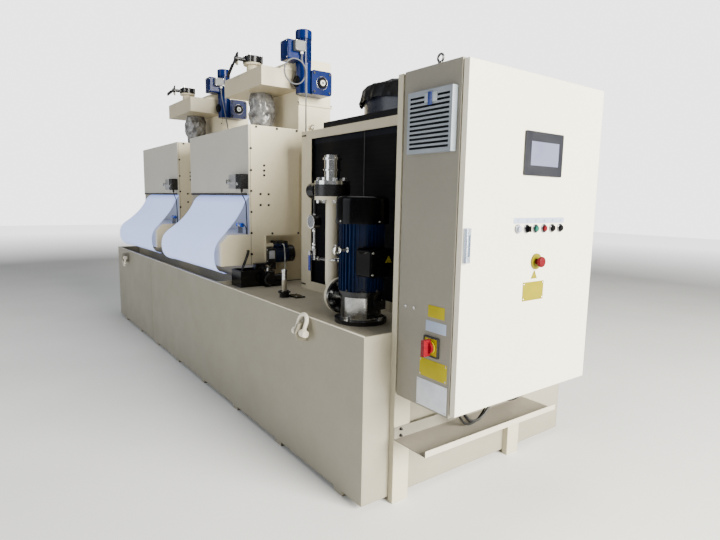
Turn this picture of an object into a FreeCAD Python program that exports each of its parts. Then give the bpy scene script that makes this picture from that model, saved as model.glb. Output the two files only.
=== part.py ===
import FreeCAD, Part
import math
import os

from FreeCAD import Vector

# Gravity paper filter plant: a long low tank that carries two paper filter units with feed
# columns, a chiller, a vertical pump and a control cabinet on its end wall.
# Millimetres. X runs along the tank towards the cabinet, Y across it from the paper side to
# the back, Z up from the floor. The origin lies on the underside of the fifth cross bearer.

# Tank
BEARER_HEIGHT = 20.0
BEARER_WIDTH = 60.0
BEARER_COUNT = 8
FIRST_BEARER = 160.0
LAST_BEARER = 253.0
ORIGIN_BEARER = 4
TANK_LENGTH = 4130.0
TANK_WIDTH = 1300.0
TANK_HEIGHT = 680.0
TANK_WALL = 6.0
LIP_WIDTH = 22.0
LIP_RADIUS = 5.0
DECK_DROP = 26.0
DECK_THICKNESS = 4.0
TROUGH_WIDTH = 200.0
TROUGH_END = 1530.0
DIVIDER_WALL = 5.0

# Lifting lugs and shackles
LUG_THICKNESS = 14.0
LUG_REACH = 62.0
LUG_HEIGHT = 90.0
LUG_TOP_DROP = 20.0
LUG_SLOPE = 8.0
LUG_CHAMFER = 15.5
LUG_FROM_END = 420.0
LUG_HOLE_REACH = 36.0
SHACKLE_ROD = 9.0
SHACKLE_PIN = 11.0
SHACKLE_INSIDE = 46.0
SHACKLE_RISE = 78.0
SHACKLE_LEAN = 19.0
SHACKLE_EYE = 17.0
PIN_END = 4.0
PIN_HEAD_RADIUS = 15.5
PIN_HEAD = 8.0
SEAT = 0.3

# Filter units
UNIT_WIDTH = 1030.0
UNIT_PITCH = 1340.0
UNIT_FROM_END = 1420.0
UNIT_FRONT = 192.0
UNIT_PANEL_BACK = 533.0
UNIT_BACK = 640.0
UNIT_TOP = 963.0
UNIT_SHELF = 306.0
SIDE_SHEET = 4.0
STRIP_WIDTH = 99.0
BODY_INSET = 70.0
LOWER_FRONT = 270.0
COVER_THICKNESS = 5.0
COVER_HEIGHT = 407.0
COVER_RETURN = 24.0
INNER_PANEL = 330.0
SHELL_WALL = 3.0
NOSE_FRONT = 10.0
NOSE_BOTTOM = 130.0
NOSE_TOP = 314.0
NOSE_CHAMFER = 50.0
NOSE_REAR = 325.0

# Paper
PAPER_WIDTH = 900.0
PAPER_FROM_SIDE = 32.0
PAPER_THICKNESS = 2.0
PAPER_RADII = (30.0, 150.0, 60.0, 60.0)
PAPER_SLOPE_RUN = 75.0
PAPER_SLOPE_FALL = 85.0
PAPER_OVER_EDGE = 90.0
PAPER_PAST_EDGE = 112.0
BED_END = (198.0, 541.0)
BED_INSIDE = (300.0, 548.0)
PAPER_TUCK = (24.0, 92.0)
PAPER_END = (106.0, 82.0)

# Position switch and paper sensor on each unit
SWITCH_FROM_SIDE = 6.0
SWITCH_HEAD_WIDTH = 84.0
SWITCH_HEAD_DEPTH = 46.0
SWITCH_BODY_WIDTH = 122.0
SWITCH_BODY_DEPTH = 38.0
SWITCH_HEIGHT = 88.0
SWITCH_RAISE = 30.0
SWITCH_ROUND = 5.0
PLUNGER_RADIUS = 15.0
PLUNGER_LENGTH = 18.0
SENSOR_RADIUS = 12.0
SENSOR_LENGTH = 80.0
SENSOR_FROM_SIDE = 94.0
SENSOR_FRONT = 188.0
SENSOR_RISE = 52.0
SENSOR_BRACKET = 3.0
SENSOR_PLATE = 32.0

# Paper drive at the foot of each unit
DRIVE_AXIS_RISE = 188.0
DRIVE_CASE = 52.0
DRIVE_CASE_LOW = 50.0
DRIVE_CASE_HIGH = 40.0
DRIVE_ROUND = 6.0
DRIVE_OUT = 34.0
DRIVE_AXIS_IN = 14.0
DRIVE_MOTOR_RADIUS = 54.0
DRIVE_MOTOR_LENGTH = 96.0
DRIVE_COWL = 38.0
DRIVE_BOX = (84.0, 78.0, 28.0)
DRIVE_BOX_LOW = 50.0
DRIVE_FINS = 18
DRIVE_PLATE = 6.0
DRIVE_PLATE_REACH = 8.0
ROLLER_GUARD = 15.0
ROLLER_GUARD_LENGTH = 51.0
GUARD_WIDTH = 32.0
GUARD_LENGTH = 87.0
GUARD_HEIGHT = 40.0

# Drip box with its small pump
DRIP_LENGTH = 138.0
DRIP_WIDTH = 151.0
DRIP_HEIGHT = 96.0
DRIP_FRONT = 113.0
DRIP_PAST_SIDE = 40.0
DRIP_WALL = 4.0
LIFT_PUMP_FRONT = 254.0
LIFT_PUMP_RADIUS = 23.0
LIFT_PUMP_LENGTH = 73.0
LIFT_PUMP_HEAD = (47.0, 60.0, 86.0)
LIFT_PUMP_FOOT = 8.0
LIFT_PUMP_WEB = 20.0
LIFT_PUMP_ROUND = 8.0

# Level switch and the black cover plate beside it
LEVEL_FROM_END = 993.0
LEVEL_Y = 197.0
LEVEL_STEM = 14.0
LEVEL_RISE = 143.0
LEVEL_FOOT = 26.0
LEVEL_FOOT_HEIGHT = 26.0
LEVEL_ROUND = 4.0
LEVEL_FLANGE = 34.0
LEVEL_FLANGE_THICKNESS = 8.0
PLATE_FROM_END = 1012.0
PLATE_LENGTH = 96.0
PLATE_WIDTH = 58.0
PLATE_Y = 226.0
PLATE_THICKNESS = 8.0

# Feed column, trough and duct
COLUMN_WIDTH = 600.0
COLUMN_FROM_SIDE = 200.0
COLUMN_DEPTH = 250.0
COLUMN_TOP = 1453.0
COLUMN_WALL = 4.0
SEAM_HEIGHT = 1153.0
SEAM_RIM = 10.0
SEAM_THICKNESS = 12.0
TROUGH_REACH = 268.0
TROUGH_BOTTOM = 1246.0
TROUGH_DEPTH = 118.0
HOOD_REACH = 140.0
DUCT_RADIUS = 86.0
DUCT_OFFSET = 124.0
DUCT_SHAPE = ((0.82, 0.0), (0.86, 0.15), (1.0, 0.42), (1.06, 0.7), (1.0, 0.86), (0.92, 1.0))
EYE_RING = 16.0
EYE_ROD = 4.0
EYE_BOSS = 10.0
EYE_BOSS_RADIUS = 9.0
EYE_BACK = 159.0
EYE_RISE = 1012.0

# Hand valve on each trough
VALVE_FROM_SIDE = 459.0
VALVE_FROM_COLUMN = 205.0
STUB_RADIUS = 42.0
STUB_HEIGHT = 50.0
PAD_RADIUS = 62.0
PAD_THICKNESS = 13.0
WAFER_RADIUS = 58.0
WAFER_BORE = 40.0
WAFER_BORE_DEPTH = 12.0
WAFER_HEIGHT = 44.0
WAFER_LUGS = 4
LUG_CIRCLE = 57.0
WAFER_LUG_RADIUS = 13.0
NECK_RADIUS = 13.0
STEM_SHARE = 0.4
STEM_PIN = 7.0
NOTCH_PLATE_REACH = 108.0
NOTCH_PLATE_RADIUS = 42.0
NOTCH_PLATE_THICKNESS = 4.0
LEVER_GAP = 8.0
LEVER_LENGTH = 168.0
LEVER_WIDTH = 24.0
LEVER_THICKNESS = 5.0
LEVER_GRIP = 96.0
GRIP_DEPTH = 6.0
GRIP_ROUND = 2.0
LEVER_HUB = 15.0
LEVER_HUB_LENGTH = 17.0
LEVER_DROPS = {"right": 36.0, "left": 5.0}

# Gear unit on each column
GEAR_BODY = 118.0
GEAR_HALF = 76.0
GEAR_CORNER = 18.0
GEAR_FLANGE = 10.0
GEAR_FOOT_RADIUS = 70.0
HUB_RADIUS = 34.0
HUB_LENGTH = 10.0
HOLLOW_SHAFT = 13.0
GEAR_AXIS_Y = 101.0
GEAR_AXIS_Z = 1283.0
WORM_OFFSET = 104.0
WORM_RADIUS = 50.0
MOTOR_RADIUS = 51.0
MOTOR_BOTTOM = 112.0
MOTOR_FLANGE = 12.0
MOTOR_LENGTH = 150.0
MOTOR_FINS = 20
MOTOR_FIN_WIDTH = 3.0
FAN_COVER_LENGTH = 56.0
FAN_COVER_LIP = 2.0
FAN_COVER_ROUND = 9.0
FIN_DEPTH = 7.0
TERMINAL_BOX = (104.0, 87.0, 122.0)
TERMINAL_GAP = 1.0
TERMINAL_RAISE = 5.0
TERMINAL_ROUND = 10.0
TERMINAL_NECK = (60.0, 85.0)
PLUG_BOX = (34.0, 76.0, 65.0)
PLUG_RAISE = 55.0
PLUG_PAST_BOX = 21.0
PLUG_ROUND = 6.0
GLAND_RADIUS = 10.0
GLAND_LENGTH = 14.0
GLAND_BACK = 54.0

# Chiller
CHILLER_FRONT = 440.0
CHILLER_BACK = 1240.0
CHILLER_LEFT = 1230.0
CHILLER_RIGHT = 10.0
CHILLER_HEIGHT = 921.0
CHILLER_POST = 110.0
CHILLER_TOP_RAIL = 46.0
CHILLER_LOW_RAIL = 50.0
CHILLER_SHEET = 4.0
PANEL_SETBACK = 22.0
PANEL_THICKNESS = 30.0
ROOF_PLATE = 24.0
ROOF_MARGINS = (30.0, 110.0, 40.0)
FAN_RADIUS = 320.0
FAN_HEIGHT = 142.0
FAN_RIM = 8.0
FAN_RIM_HEIGHT = 16.0

# Pump
PUMP_FROM_END = 318.0
PUMP_Y = 217.0
PUMP_BASE_RADIUS = 116.0
PUMP_BASE_HEIGHT = 18.0
STOOL_RADIUS = 90.0
STOOL_WALL = 8.0
STOOL_TOP = 142.0
STOOL_WINDOW = 84.0
STOOL_WINDOW_LOW = 12.0
STOOL_WINDOW_HEIGHT = 82.0
STOOL_WINDOW_TURN = -52.0
CROWN_RADIUS = 97.0
CROWN_HEIGHT = 14.0
SHAFT_RADIUS = 24.0
GUARD_SHEET = 1.5
GUARD_EDGE = 8.0
PUMP_MOTOR_RADIUS = 100.0
PUMP_MOTOR_TOP = 433.0
PUMP_FINS = 32
PUMP_FIN_DEPTH = 12.0
PUMP_FIN_WIDTH = 4.0
PUMP_COWL_RADIUS = 115.0
PUMP_COWL_TOP = 549.0
PUMP_COWL_ROUND = 16.0
PUMP_BOX = (98.0, 142.0, 116.0)
PUMP_BOX_IN = 60.0
PUMP_BOX_FRONT = 76.0
PUMP_BOX_RAISE = 216.0
PUMP_BOX_ROUND = 10.0
LIFT_EYE_RISE = 268.0
LIFT_EYE_RING = 15.0
LIFT_EYE_ROD = 5.0
LIFT_EYE_BOSS = 8.0
LIFT_EYE_BOSS_RADIUS = 9.0
LIFT_EYE_TURN = -135.0
PORT_HEIGHT = 90.0
PORT_RADIUS = 36.0
PORT_REACH = 158.0
PIPE_RADIUS = 30.0
PIPE_OFFSET = 240.0
FLANGE_RADIUS = 82.0
FLANGE_THICKNESS = 17.0
PIPE_TOP = 530.0
VALVE_RADIUS = 84.0
VALVE_HEIGHT = 54.0
GEARBOX_RADIUS = 38.0
GEARBOX_LENGTH = 60.0
GEARBOX_REACH = 178.0
STEM_RADIUS = 16.0
COUPLING_RADIUS = 37.0
COUPLING_WALL = 6.0
COUPLING_HEIGHT = 118.0
COUPLING_RINGS = ((46.0, 6.0, 8.0), (96.0, 7.0, 10.0))

# Gauge line beside the riser
GAUGE_OFFSET = 155.0
GAUGE_TUBE = 8.0
GAUGE_FOOT = 232.0
GAUGE_RISE = 423.0
GAUGE_RADIUS = 32.0
GAUGE_DEPTH = 36.0
LINK_RISE = 243.0
BALL_RADIUS = 17.0
BALL_LENGTH = 34.0
BALL_RAISE = 12.0
BALL_HUB_RADIUS = 9.0
BALL_HUB_LENGTH = 14.0
BALL_LEVER = (4.0, 18.0, 92.0)

# Control cabinet
POST_DEPTH = 28.0
POST_WIDTH = 82.0
POST_HEIGHT = 1660.0
SPACER_RADIUS = 14.0
SPACER_FROM_END = 80.0
CABINET_GAP = 10.0
CABINET_WIDTH = 800.0
CABINET_HEIGHT = 1200.0
CABINET_DEPTH = 273.0
CABINET_Y = 134.0
CABINET_BOTTOM = 462.0
CABINET_SHEET = 2.0
CABINET_FRAME = 30.0
DOOR_GAP = 3.0
DOOR_DEPTH = 23.0
DOOR_LOW_GAP = 12.0
DOOR_EDGE_GAP = 5.0
HINGE_RADIUS = 7.0
HINGE_PIN = 3.0
HINGE_CLEARANCE = 0.1
HINGE_LEAF = 34.0
HINGE_LEAF_SHEET = 4.0
HINGE_BARREL = 30.0
KNUCKLE_GAP = 1.0
HINGE_SIDE_GAP = 1.0
HINGE_LOW = 150.0
HINGE_HIGH = 220.0
ROOF_EYE_X = 150.0
ROOF_EYE_Y = 24.0
ROOF_EYE_RISE = 24.0
ROOF_EYE_RING = 13.0
ROOF_EYE_ROD = 4.0
ROOF_EYE_BOSS = 9.0
PLATE_STANDOFF = 18.0
PLATE_SHEET = 3.0
PLATE_SIDE = 40.0
PLATE_END = 50.0
STANDOFF_SIDE = 20.0
LATCH_FROM_EDGE = 16.0
LATCH_WIDTH = 22.0
LATCH_LENGTH = 115.0
LATCH_DEPTH = 16.0
LATCH_RISE = 545.0
LATCH_POCKET = (12.0, 70.0, 5.0)
LATCH_ROUND = 4.0

# Door controls
SCREEN_Y = 436.0
SCREEN_RISE = 1285.0
SCREEN_WIDTH = 228.0
SCREEN_HEIGHT = 156.0
SCREEN_DEPTH = 6.0
SCREEN_ROUND = 6.0
SCREEN_GLASS = (169.0, 86.0)
SCREEN_GLASS_SIDE = 35.0
SCREEN_GLASS_RISE = 36.0
SCREEN_RECESS = 1.5
ROW_RISE = 1094.0
ROW_Y = 424.0
ROW_PITCH = 51.8
ROW_COUNT = 6
BEZEL_RADIUS = 14.5
BEZEL_DEPTH = 5.0
CAP_RADIUS = 10.0
CAP_OUT = 6.0
LAMP_OUT = 10.0
TRAVEL = 4.0
KNOB_GRIP = (14.0, 6.0, 22.0)
KNOB_FACE = 2.0
STOP_Y = 544.0
STOP_RISE = 971.0
STOP_RING = 30.0
STOP_HEAD = 20.0
STOP_STEM = 20.0
STOP_CAP = 14.0
STOP_CAP_OUT = 18.0
STOP_ROUND = 5.0

# Main switch and fan vent on the cabinet's side
SWITCH_X = 183.0
SWITCH_RISE = 677.0
SWITCH_PLATE = 66.0
SWITCH_PLATE_DEPTH = 6.0
SWITCH_BOSS_RADIUS = 24.0
SWITCH_BOSS = 8.0
SWITCH_TURN_RADIUS = 22.0
SWITCH_TURN = 10.0
SWITCH_GRIP = (16.0, 22.0, 60.0)
SWITCH_GRIP_ROUND = 4.0
VENT_X = 45.0
VENT_RISE = 1350.0
VENT_WIDTH = 213.0
VENT_HEIGHT = 208.0
VENT_DEPTH = 24.0
VENT_SLOTS = 12
VENT_SLOT_PITCH = 15.2
VENT_SLOT = 8.0
VENT_SLOT_DEPTH = 10.0
VENT_MARGIN = 12.0
VENT_FOOT = 14.0

# Cable tray
TRAY_FLOOR = 272.0
TRAY_BACK = 50.0
TRAY_LIP = 25.0
TRAY_DEPTH = 180.0
TRAY_SHEET = 3.0
TRAY_PAST_CABINET = 12.0

# Cables: each point is an offset from the gland, edge or face that the cable leaves
CABLE_RADIUS = 4.5
THIN_CABLE_RADIUS = 3.5
HOSE_RADIUS = 5.0
RUN_SHARE = 0.45
FIRST_RUN = 40.0
TURN_CENTRE = (4.0, -54.0, -114.0)
TURN_SIDE = (0.0, 1.0, 0.0)
TURN_RADIUS = 75.0
TURN_CORNERS = 8
TURN_SPREAD = 14.0
FAR_CABLE = ((28.0, 21.0, 1226.0), (42.0, 36.0, 1124.0), (68.0, 56.0, 926.0), (98.0, 76.0, 120.0), (98.0, 76.0, 0.0))
SWITCH_CABLE = ((-48.0, -28.0, 242.0), (-16.0, -16.0, 196.0), (-11.0, -13.0, 40.0), (-11.0, -13.0, 0.0))
SENSOR_CABLE = ((-62.0, 0.0, 52.0), (-38.0, -3.0, 36.0), (-30.0, -5.0, 16.0), (-30.0, -5.0, 0.0))
DRIVE_EXIT = 64.0
DRIVE_CABLE = ((16.0, 0.0, 252.0), (22.0, 2.0, 232.0), (26.0, 4.0, 180.0), (26.0, 4.0, 0.0))
BOX_LEADS = 2
LEAD_PITCH = 9.0
BOX_LEAD = ((0.0, -11.0, 217.0), (11.0, -11.0, 217.0), (13.0, -17.0, 196.0), (10.0, -30.0, 160.0),
            (6.0, -46.0, 120.0), (-4.0, -58.0, 60.0), (-10.0, -60.0, 30.0), (-10.0, -60.0, 4.0))
PUMP_HOSE = ((0.0, 12.0, 80.0), (17.0, 12.0, 80.0), (19.0, -14.0, 60.0), (19.0, -12.0, 26.0),
             (17.0, 24.0, 12.0), (0.0, 24.0, 12.0))
STRAND_X = 84.0
STRAND_PITCH = 14.0
STRAND_SHIFT = 3.0
STRANDS_IN_BUNDLE = 3
LEFT_STRAND = ((241.0, 190.0), (247.0, 143.0), (278.0, 58.0), (320.0, 12.0), (380.0, 9.0),
               (430.0, 46.0), (454.0, 108.0), (460.0, 190.0))
RIGHT_STRAND = ((496.0, 190.0), (508.0, 128.0), (552.0, 66.0), (628.0, 54.0), (704.0, 75.0),
                (748.0, 128.0), (756.0, 190.0))
STRAND_SAGS = ((0.0, 0.0), (14.0, 6.0), (26.0, -8.0), (0.0, 4.0), (12.0, -6.0), (24.0, 8.0))

bearer_pitch = (TANK_LENGTH - FIRST_BEARER - LAST_BEARER) / (BEARER_COUNT - 1)
x_end = FIRST_BEARER + ORIGIN_BEARER * bearer_pitch
x_far = x_end - TANK_LENGTH
y_front = -TANK_WIDTH / 2
y_back = TANK_WIDTH / 2
z_low = BEARER_HEIGHT
z_top = z_low + TANK_HEIGHT
z_deck = z_top - DECK_DROP
inner_front = y_front + TANK_WALL
inner_back = y_back - TANK_WALL
lip_front = y_front + LIP_WIDTH
lip_back = y_back - LIP_WIDTH


def block(x0, x1, y0, y1, z0, z1):
    return Part.makeBox(x1 - x0, y1 - y0, z1 - z0, Vector(x0, y0, z0))


def rod(x, y, z, radius, length, axis=(0, 0, 1)):
    return Part.makeCylinder(radius, length, Vector(x, y, z), Vector(*axis))


def extrude_x(points, x0, x1):
    wire = Part.makePolygon([Vector(x0, y, z) for y, z in points + points[:1]])
    return Part.Face(wire).extrude(Vector(x1 - x0, 0, 0))


def hollow(x0, x1, y0, y1, z0, z1, wall):
    inner = block(x0 + wall, x1 - wall, y0 + wall, y1 - wall, z0 + wall, z1 - wall)
    return block(x0, x1, y0, y1, z0, z1).cut(inner)


def save(name, *solids):
    shape = solids[0] if len(solids) == 1 else Part.makeCompound(list(solids))
    shape.exportStep("parts/" + name + ".step")


def top_edges(solid, height):
    flat = [e for e in solid.Edges if e.BoundBox.ZLength < 0.01]
    return [e for e in flat if abs(e.CenterOfMass.z - height) < 0.01]


def edges_along(solid, axis, length):
    sides = {"x": "XLength", "y": "YLength", "z": "ZLength"}
    return [e for e in solid.Edges if getattr(e.BoundBox, sides[axis]) > length * 0.9]


def finned(x, y, z, radius, length, count, depth, width):
    body = rod(x, y, z, radius - depth, length)
    fin = block(x, x + radius, y - width / 2, y + width / 2, z, z + length)
    fins = []
    for i in range(count):
        turned = fin.copy()
        turned.rotate(Vector(x, y, z), Vector(0, 0, 1), 360.0 * i / count)
        fins.append(turned)
    return body.fuse(fins).common(rod(x, y, z, radius, length))


def rounded_path(points, radii):
    """Straight runs joined by tangent arcs, one radius for each inner point."""
    edges = []
    last = points[0]
    for before, corner, after, radius in zip(points, points[1:], points[2:], radii):
        a = (before - corner).normalize()
        b = (after - corner).normalize()
        half = a.getAngle(b) / 2
        reach = radius / math.tan(half)
        middle = (a + b).normalize() * (radius / math.sin(half) - radius)
        start = corner + a * reach
        end = corner + b * reach
        edges.append(Part.makeLine(last, start))
        edges.append(Part.Arc(start, corner + middle, end).toShape())
        last = end
    edges.append(Part.makeLine(last, points[-1]))
    return Part.Wire(edges)


def cable(places, radius):
    """A tube whose arcs are as large as their two runs allow."""
    points = [Vector(*place) for place in places]
    radii = []
    for before, corner, after in zip(points, points[1:], points[2:]):
        run = min((before - corner).Length, (after - corner).Length)
        radii.append(RUN_SHARE * run * math.tan((before - corner).getAngle(after - corner) / 2))
    path = rounded_path(points, radii)
    start = (points[1] - points[0]).normalize()
    tube = path.makePipeShell([Part.Wire(Part.makeCircle(radius, points[0], start))], True, False)
    share = tube.Volume / (math.pi * radius ** 2 * path.Length)
    print("cable radii", [round(r) for r in radii], "volume share", round(share, 3))
    return tube


os.makedirs("parts", exist_ok=True)


# Tank shell: long walls with a folded lip, end walls and floor between them, cross bearers
def long_wall(outer, inward):
    wall = [(outer, z_low), (outer, z_top), (outer + inward * LIP_WIDTH, z_top),
            (outer + inward * LIP_WIDTH, z_top - TANK_WALL),
            (outer + inward * TANK_WALL, z_top - TANK_WALL), (outer + inward * TANK_WALL, z_low)]
    solid = extrude_x(wall, x_far, x_end)
    corner = [e for e in edges_along(solid, "x", TANK_LENGTH)
              if abs(e.CenterOfMass.y - outer) < 0.01 and abs(e.CenterOfMass.z - z_top) < 0.01]
    return solid.makeFillet(LIP_RADIUS, corner)


def end_wall(x0, x1):
    low = block(x0, x1, inner_front, inner_back, z_low, z_top - TANK_WALL)
    return low.fuse(block(x0, x1, lip_front, lip_back, z_top - TANK_WALL, z_top))


save("tank_front_wall", long_wall(y_front, 1))
save("tank_back_wall", long_wall(y_back, -1))
x_in_far = x_far + TANK_WALL
x_in_end = x_end - TANK_WALL
z_floor = z_low + TANK_WALL
floor = block(x_in_far, x_in_end, inner_front, inner_back, z_low, z_floor)
save("tank_ends", floor.fuse([end_wall(x_far, x_in_far), end_wall(x_in_end, x_end)]).removeSplitter())
bearers = []
for i in range(BEARER_COUNT):
    x = x_end - FIRST_BEARER - i * bearer_pitch
    bearers.append(block(x - BEARER_WIDTH / 2, x + BEARER_WIDTH / 2, y_front, y_back, 0, BEARER_HEIGHT))
save("skid_bearers", *bearers)

# Open paper trough along the front: divider wall and its end plate
y_divider = y_front + TROUGH_WIDTH
x_trough = x_end - TROUGH_END
divider = block(x_in_far, x_trough, y_divider, y_divider + DIVIDER_WALL, z_floor, z_top)
stop = block(x_trough, x_trough + DIVIDER_WALL, inner_front, y_divider + DIVIDER_WALL,
             z_floor, z_top - TANK_WALL)
stop_top = block(x_trough, x_trough + DIVIDER_WALL, lip_front, y_divider + DIVIDER_WALL,
                 z_top - TANK_WALL, z_top)
save("trough_divider", divider.fuse([stop, stop_top]).removeSplitter())

# Deck plate over the clean tank, an L in plan
z_deck_low = z_deck - DECK_THICKNESS
wide = block(x_trough + DIVIDER_WALL, x_in_end, inner_front, inner_back, z_deck_low, z_deck)
narrow = block(x_in_far, x_trough + DIVIDER_WALL, y_divider + DIVIDER_WALL, inner_back, z_deck_low, z_deck)
save("deck_plate", wide.fuse(narrow).removeSplitter())

# Lifting lugs on the long walls, each with a bored ear
lug_top = z_top - LUG_TOP_DROP
lug_low = lug_top - LUG_HEIGHT
lug_z = (lug_top + lug_low) / 2
lug_hole = SHACKLE_PIN + SEAT
lug_places = [x_end - LUG_FROM_END, x_far + LUG_FROM_END]


def lug(x, outer, out):
    shoulder = outer + out * (LUG_REACH - LUG_CHAMFER)
    plate = extrude_x([(outer, lug_top), (shoulder, lug_top - LUG_SLOPE), (outer + out * LUG_REACH, lug_z),
                       (shoulder, lug_low + LUG_SLOPE), (outer, lug_low)],
                      x - LUG_THICKNESS / 2, x + LUG_THICKNESS / 2)
    return plate.cut(rod(x - LUG_THICKNESS, outer + out * LUG_HOLE_REACH, lug_z, lug_hole, 2 * LUG_THICKNESS, (1, 0, 0)))


save("lifting_lugs", *[lug(x, outer, out) for x in lug_places for outer, out in ((y_front, -1), (y_back, 1))])


# Bow shackle: a round rod bent to a bow, eyes at its ends and a pin through the lug
def shackle(x, y, z, angle):
    half = SHACKLE_INSIDE / 2 + SHACKLE_ROD
    shoulder = SHACKLE_RISE - half
    bow_path = Part.Wire([
        Part.LineSegment(Vector(-half, 0, 0), Vector(-half, 0, shoulder)).toShape(),
        Part.Arc(Vector(-half, 0, shoulder), Vector(0, 0, SHACKLE_RISE), Vector(half, 0, shoulder)).toShape(),
        Part.LineSegment(Vector(half, 0, shoulder), Vector(half, 0, 0)).toShape()])
    ring = Part.Wire(Part.makeCircle(SHACKLE_ROD, Vector(-half, 0, 0), Vector(0, 0, 1)))
    bow = bow_path.makePipeShell([ring], True, True)
    eyes = [rod(side * half - SHACKLE_ROD, 0, 0, SHACKLE_EYE, 2 * SHACKLE_ROD, (1, 0, 0)) for side in (-1, 1)]
    reach = half + SHACKLE_ROD + PIN_END
    pin = rod(-reach, 0, 0, SHACKLE_PIN, 2 * reach, (1, 0, 0))
    head = rod(reach, 0, 0, PIN_HEAD_RADIUS, PIN_HEAD, (1, 0, 0))
    solid = bow.fuse(eyes + [pin, head]).removeSplitter()
    solid.rotate(Vector(0, 0, 0), Vector(1, 0, 0), angle)
    solid.translate(Vector(x, y, z))
    return solid


save("shackle_right", shackle(lug_places[0], y_front - LUG_HOLE_REACH, lug_z, -SHACKLE_LEAN))
save("shackle_left", shackle(lug_places[1], y_front - LUG_HOLE_REACH, lug_z, 180))

# Filter units: side panels, housing, front cover, nose box and the paper
unit_sides = {"right": x_end - UNIT_FROM_END, "left": x_end - UNIT_FROM_END - UNIT_PITCH}
y_cover = y_front + UNIT_FRONT
y_strip = y_cover + STRIP_WIDTH
y_lower = y_front + LOWER_FRONT
y_inner = y_front + INNER_PANEL
y_panel = y_front + UNIT_PANEL_BACK
y_unit_back = y_front + UNIT_BACK
y_nose = y_front + NOSE_FRONT
z_roof = z_deck + UNIT_TOP
z_shelf = z_deck + UNIT_SHELF
z_nose_low = z_deck + NOSE_BOTTOM
z_nose_top = z_deck + NOSE_TOP
z_cover_low = z_roof - COVER_HEIGHT
z_drive = z_deck + DRIVE_AXIS_RISE
y_case = y_strip + DRIVE_PLATE


def side_panel(x0, x1):
    outline = [(y_cover, z_roof), (y_panel, z_roof), (y_panel, z_shelf), (y_strip, z_shelf),
               (y_strip, z_nose_low), (y_cover, z_nose_low)]
    return extrude_x(outline, x0, x1)


# The narrower body under the shelf goes up behind the side panels to the roof
def lower_body(x0, x1):
    outline = [(y_lower, z_deck), (y_lower, z_shelf), (y_panel, z_shelf), (y_panel, z_roof),
               (y_unit_back, z_roof), (y_unit_back, z_deck)]
    inner = [(y_lower + SHELL_WALL, z_deck + SHELL_WALL), (y_lower + SHELL_WALL, z_shelf - SHELL_WALL),
             (y_panel + SHELL_WALL, z_shelf - SHELL_WALL), (y_panel + SHELL_WALL, z_roof - SHELL_WALL),
             (y_unit_back - SHELL_WALL, z_roof - SHELL_WALL), (y_unit_back - SHELL_WALL, z_deck + SHELL_WALL)]
    return extrude_x(outline, x0, x1).cut(extrude_x(inner, x0 + SHELL_WALL, x1 - SHELL_WALL))


# Paper: out over the bed's end, down the slope onto the nose edge, and round under the nose
def paper_solid(x0, x1):
    slope = Vector(0, -PAPER_SLOPE_RUN, -PAPER_SLOPE_FALL).normalize()
    outward = Vector(0, slope.z, -slope.y)
    edge = Vector(x0, y_nose, z_nose_top - NOSE_CHAMFER) + outward * SEAT
    bed = [Vector(x0, y_front + y, z_deck + z) for y, z in (BED_INSIDE, BED_END)]
    under = [Vector(x0, y_front + y, z_deck + z) for y, z in (PAPER_TUCK, PAPER_END)]
    path = rounded_path(bed + [edge - slope * PAPER_OVER_EDGE, edge + slope * PAPER_PAST_EDGE] + under, PAPER_RADII)
    return path.makeOffset2D(PAPER_THICKNESS, 0, True, True).extrude(Vector(x1 - x0, 0, 0))


# Plate and roller guard that carry the paper drive at the unit's end
def drive_bracket(x_side):
    plate = block(x_side - BODY_INSET, x_side + DRIVE_PLATE_REACH, y_strip, y_case, z_drive - DRIVE_CASE_LOW, z_shelf)
    z_guard = z_drive + DRIVE_CASE_HIGH + ROLLER_GUARD
    return plate.fuse(rod(x_side - DRIVE_AXIS_IN, y_case, z_guard, ROLLER_GUARD, ROLLER_GUARD_LENGTH, (0, 1, 0)))


column_seam_z = z_deck + SEAM_HEIGHT
y_column_back = y_unit_back + COLUMN_DEPTH
z_column = z_deck + COLUMN_TOP
z_trough = z_deck + TROUGH_BOTTOM
z_trough_top = z_trough + TROUGH_DEPTH
z_gear = z_deck + GEAR_AXIS_Z
y_gear = y_unit_back + GEAR_AXIS_Y
y_worm = y_gear - WORM_OFFSET
z_motor = z_gear + MOTOR_BOTTOM
y_valve = y_unit_back - VALVE_FROM_COLUMN
z_pad = z_trough_top + STUB_HEIGHT + PAD_THICKNESS
z_stem = z_pad + WAFER_HEIGHT * STEM_SHARE
y_notch = y_valve - NOTCH_PLATE_REACH
y_hub = y_notch - NOTCH_PLATE_THICKNESS - SEAT


# Lifting column with its flange seam, sloped hood and lifting eye
def lift_column(x0, x1):
    shell = hollow(x0, x1, y_unit_back, y_column_back, z_deck, z_column, COLUMN_WALL)
    rim = block(x0, x1 + SEAM_RIM, y_unit_back, y_column_back + SEAM_RIM,
                column_seam_z, column_seam_z + SEAM_THICKNESS)
    core = block(x0 + COLUMN_WALL, x1 - COLUMN_WALL, y_unit_back + COLUMN_WALL, y_column_back - COLUMN_WALL,
                 column_seam_z, column_seam_z + SEAM_THICKNESS)
    y_eye = y_column_back - EYE_BACK
    z_eye = z_deck + EYE_RISE
    boss = rod(x1, y_eye, z_eye, EYE_BOSS_RADIUS, EYE_BOSS, (1, 0, 0))
    ring = Part.makeTorus(EYE_RING, EYE_ROD, Vector(x1 + EYE_BOSS + EYE_RING, y_eye, z_eye), Vector(0, 1, 0))
    return shell.fuse([rim.cut(core), boss, ring]).removeSplitter()


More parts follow.
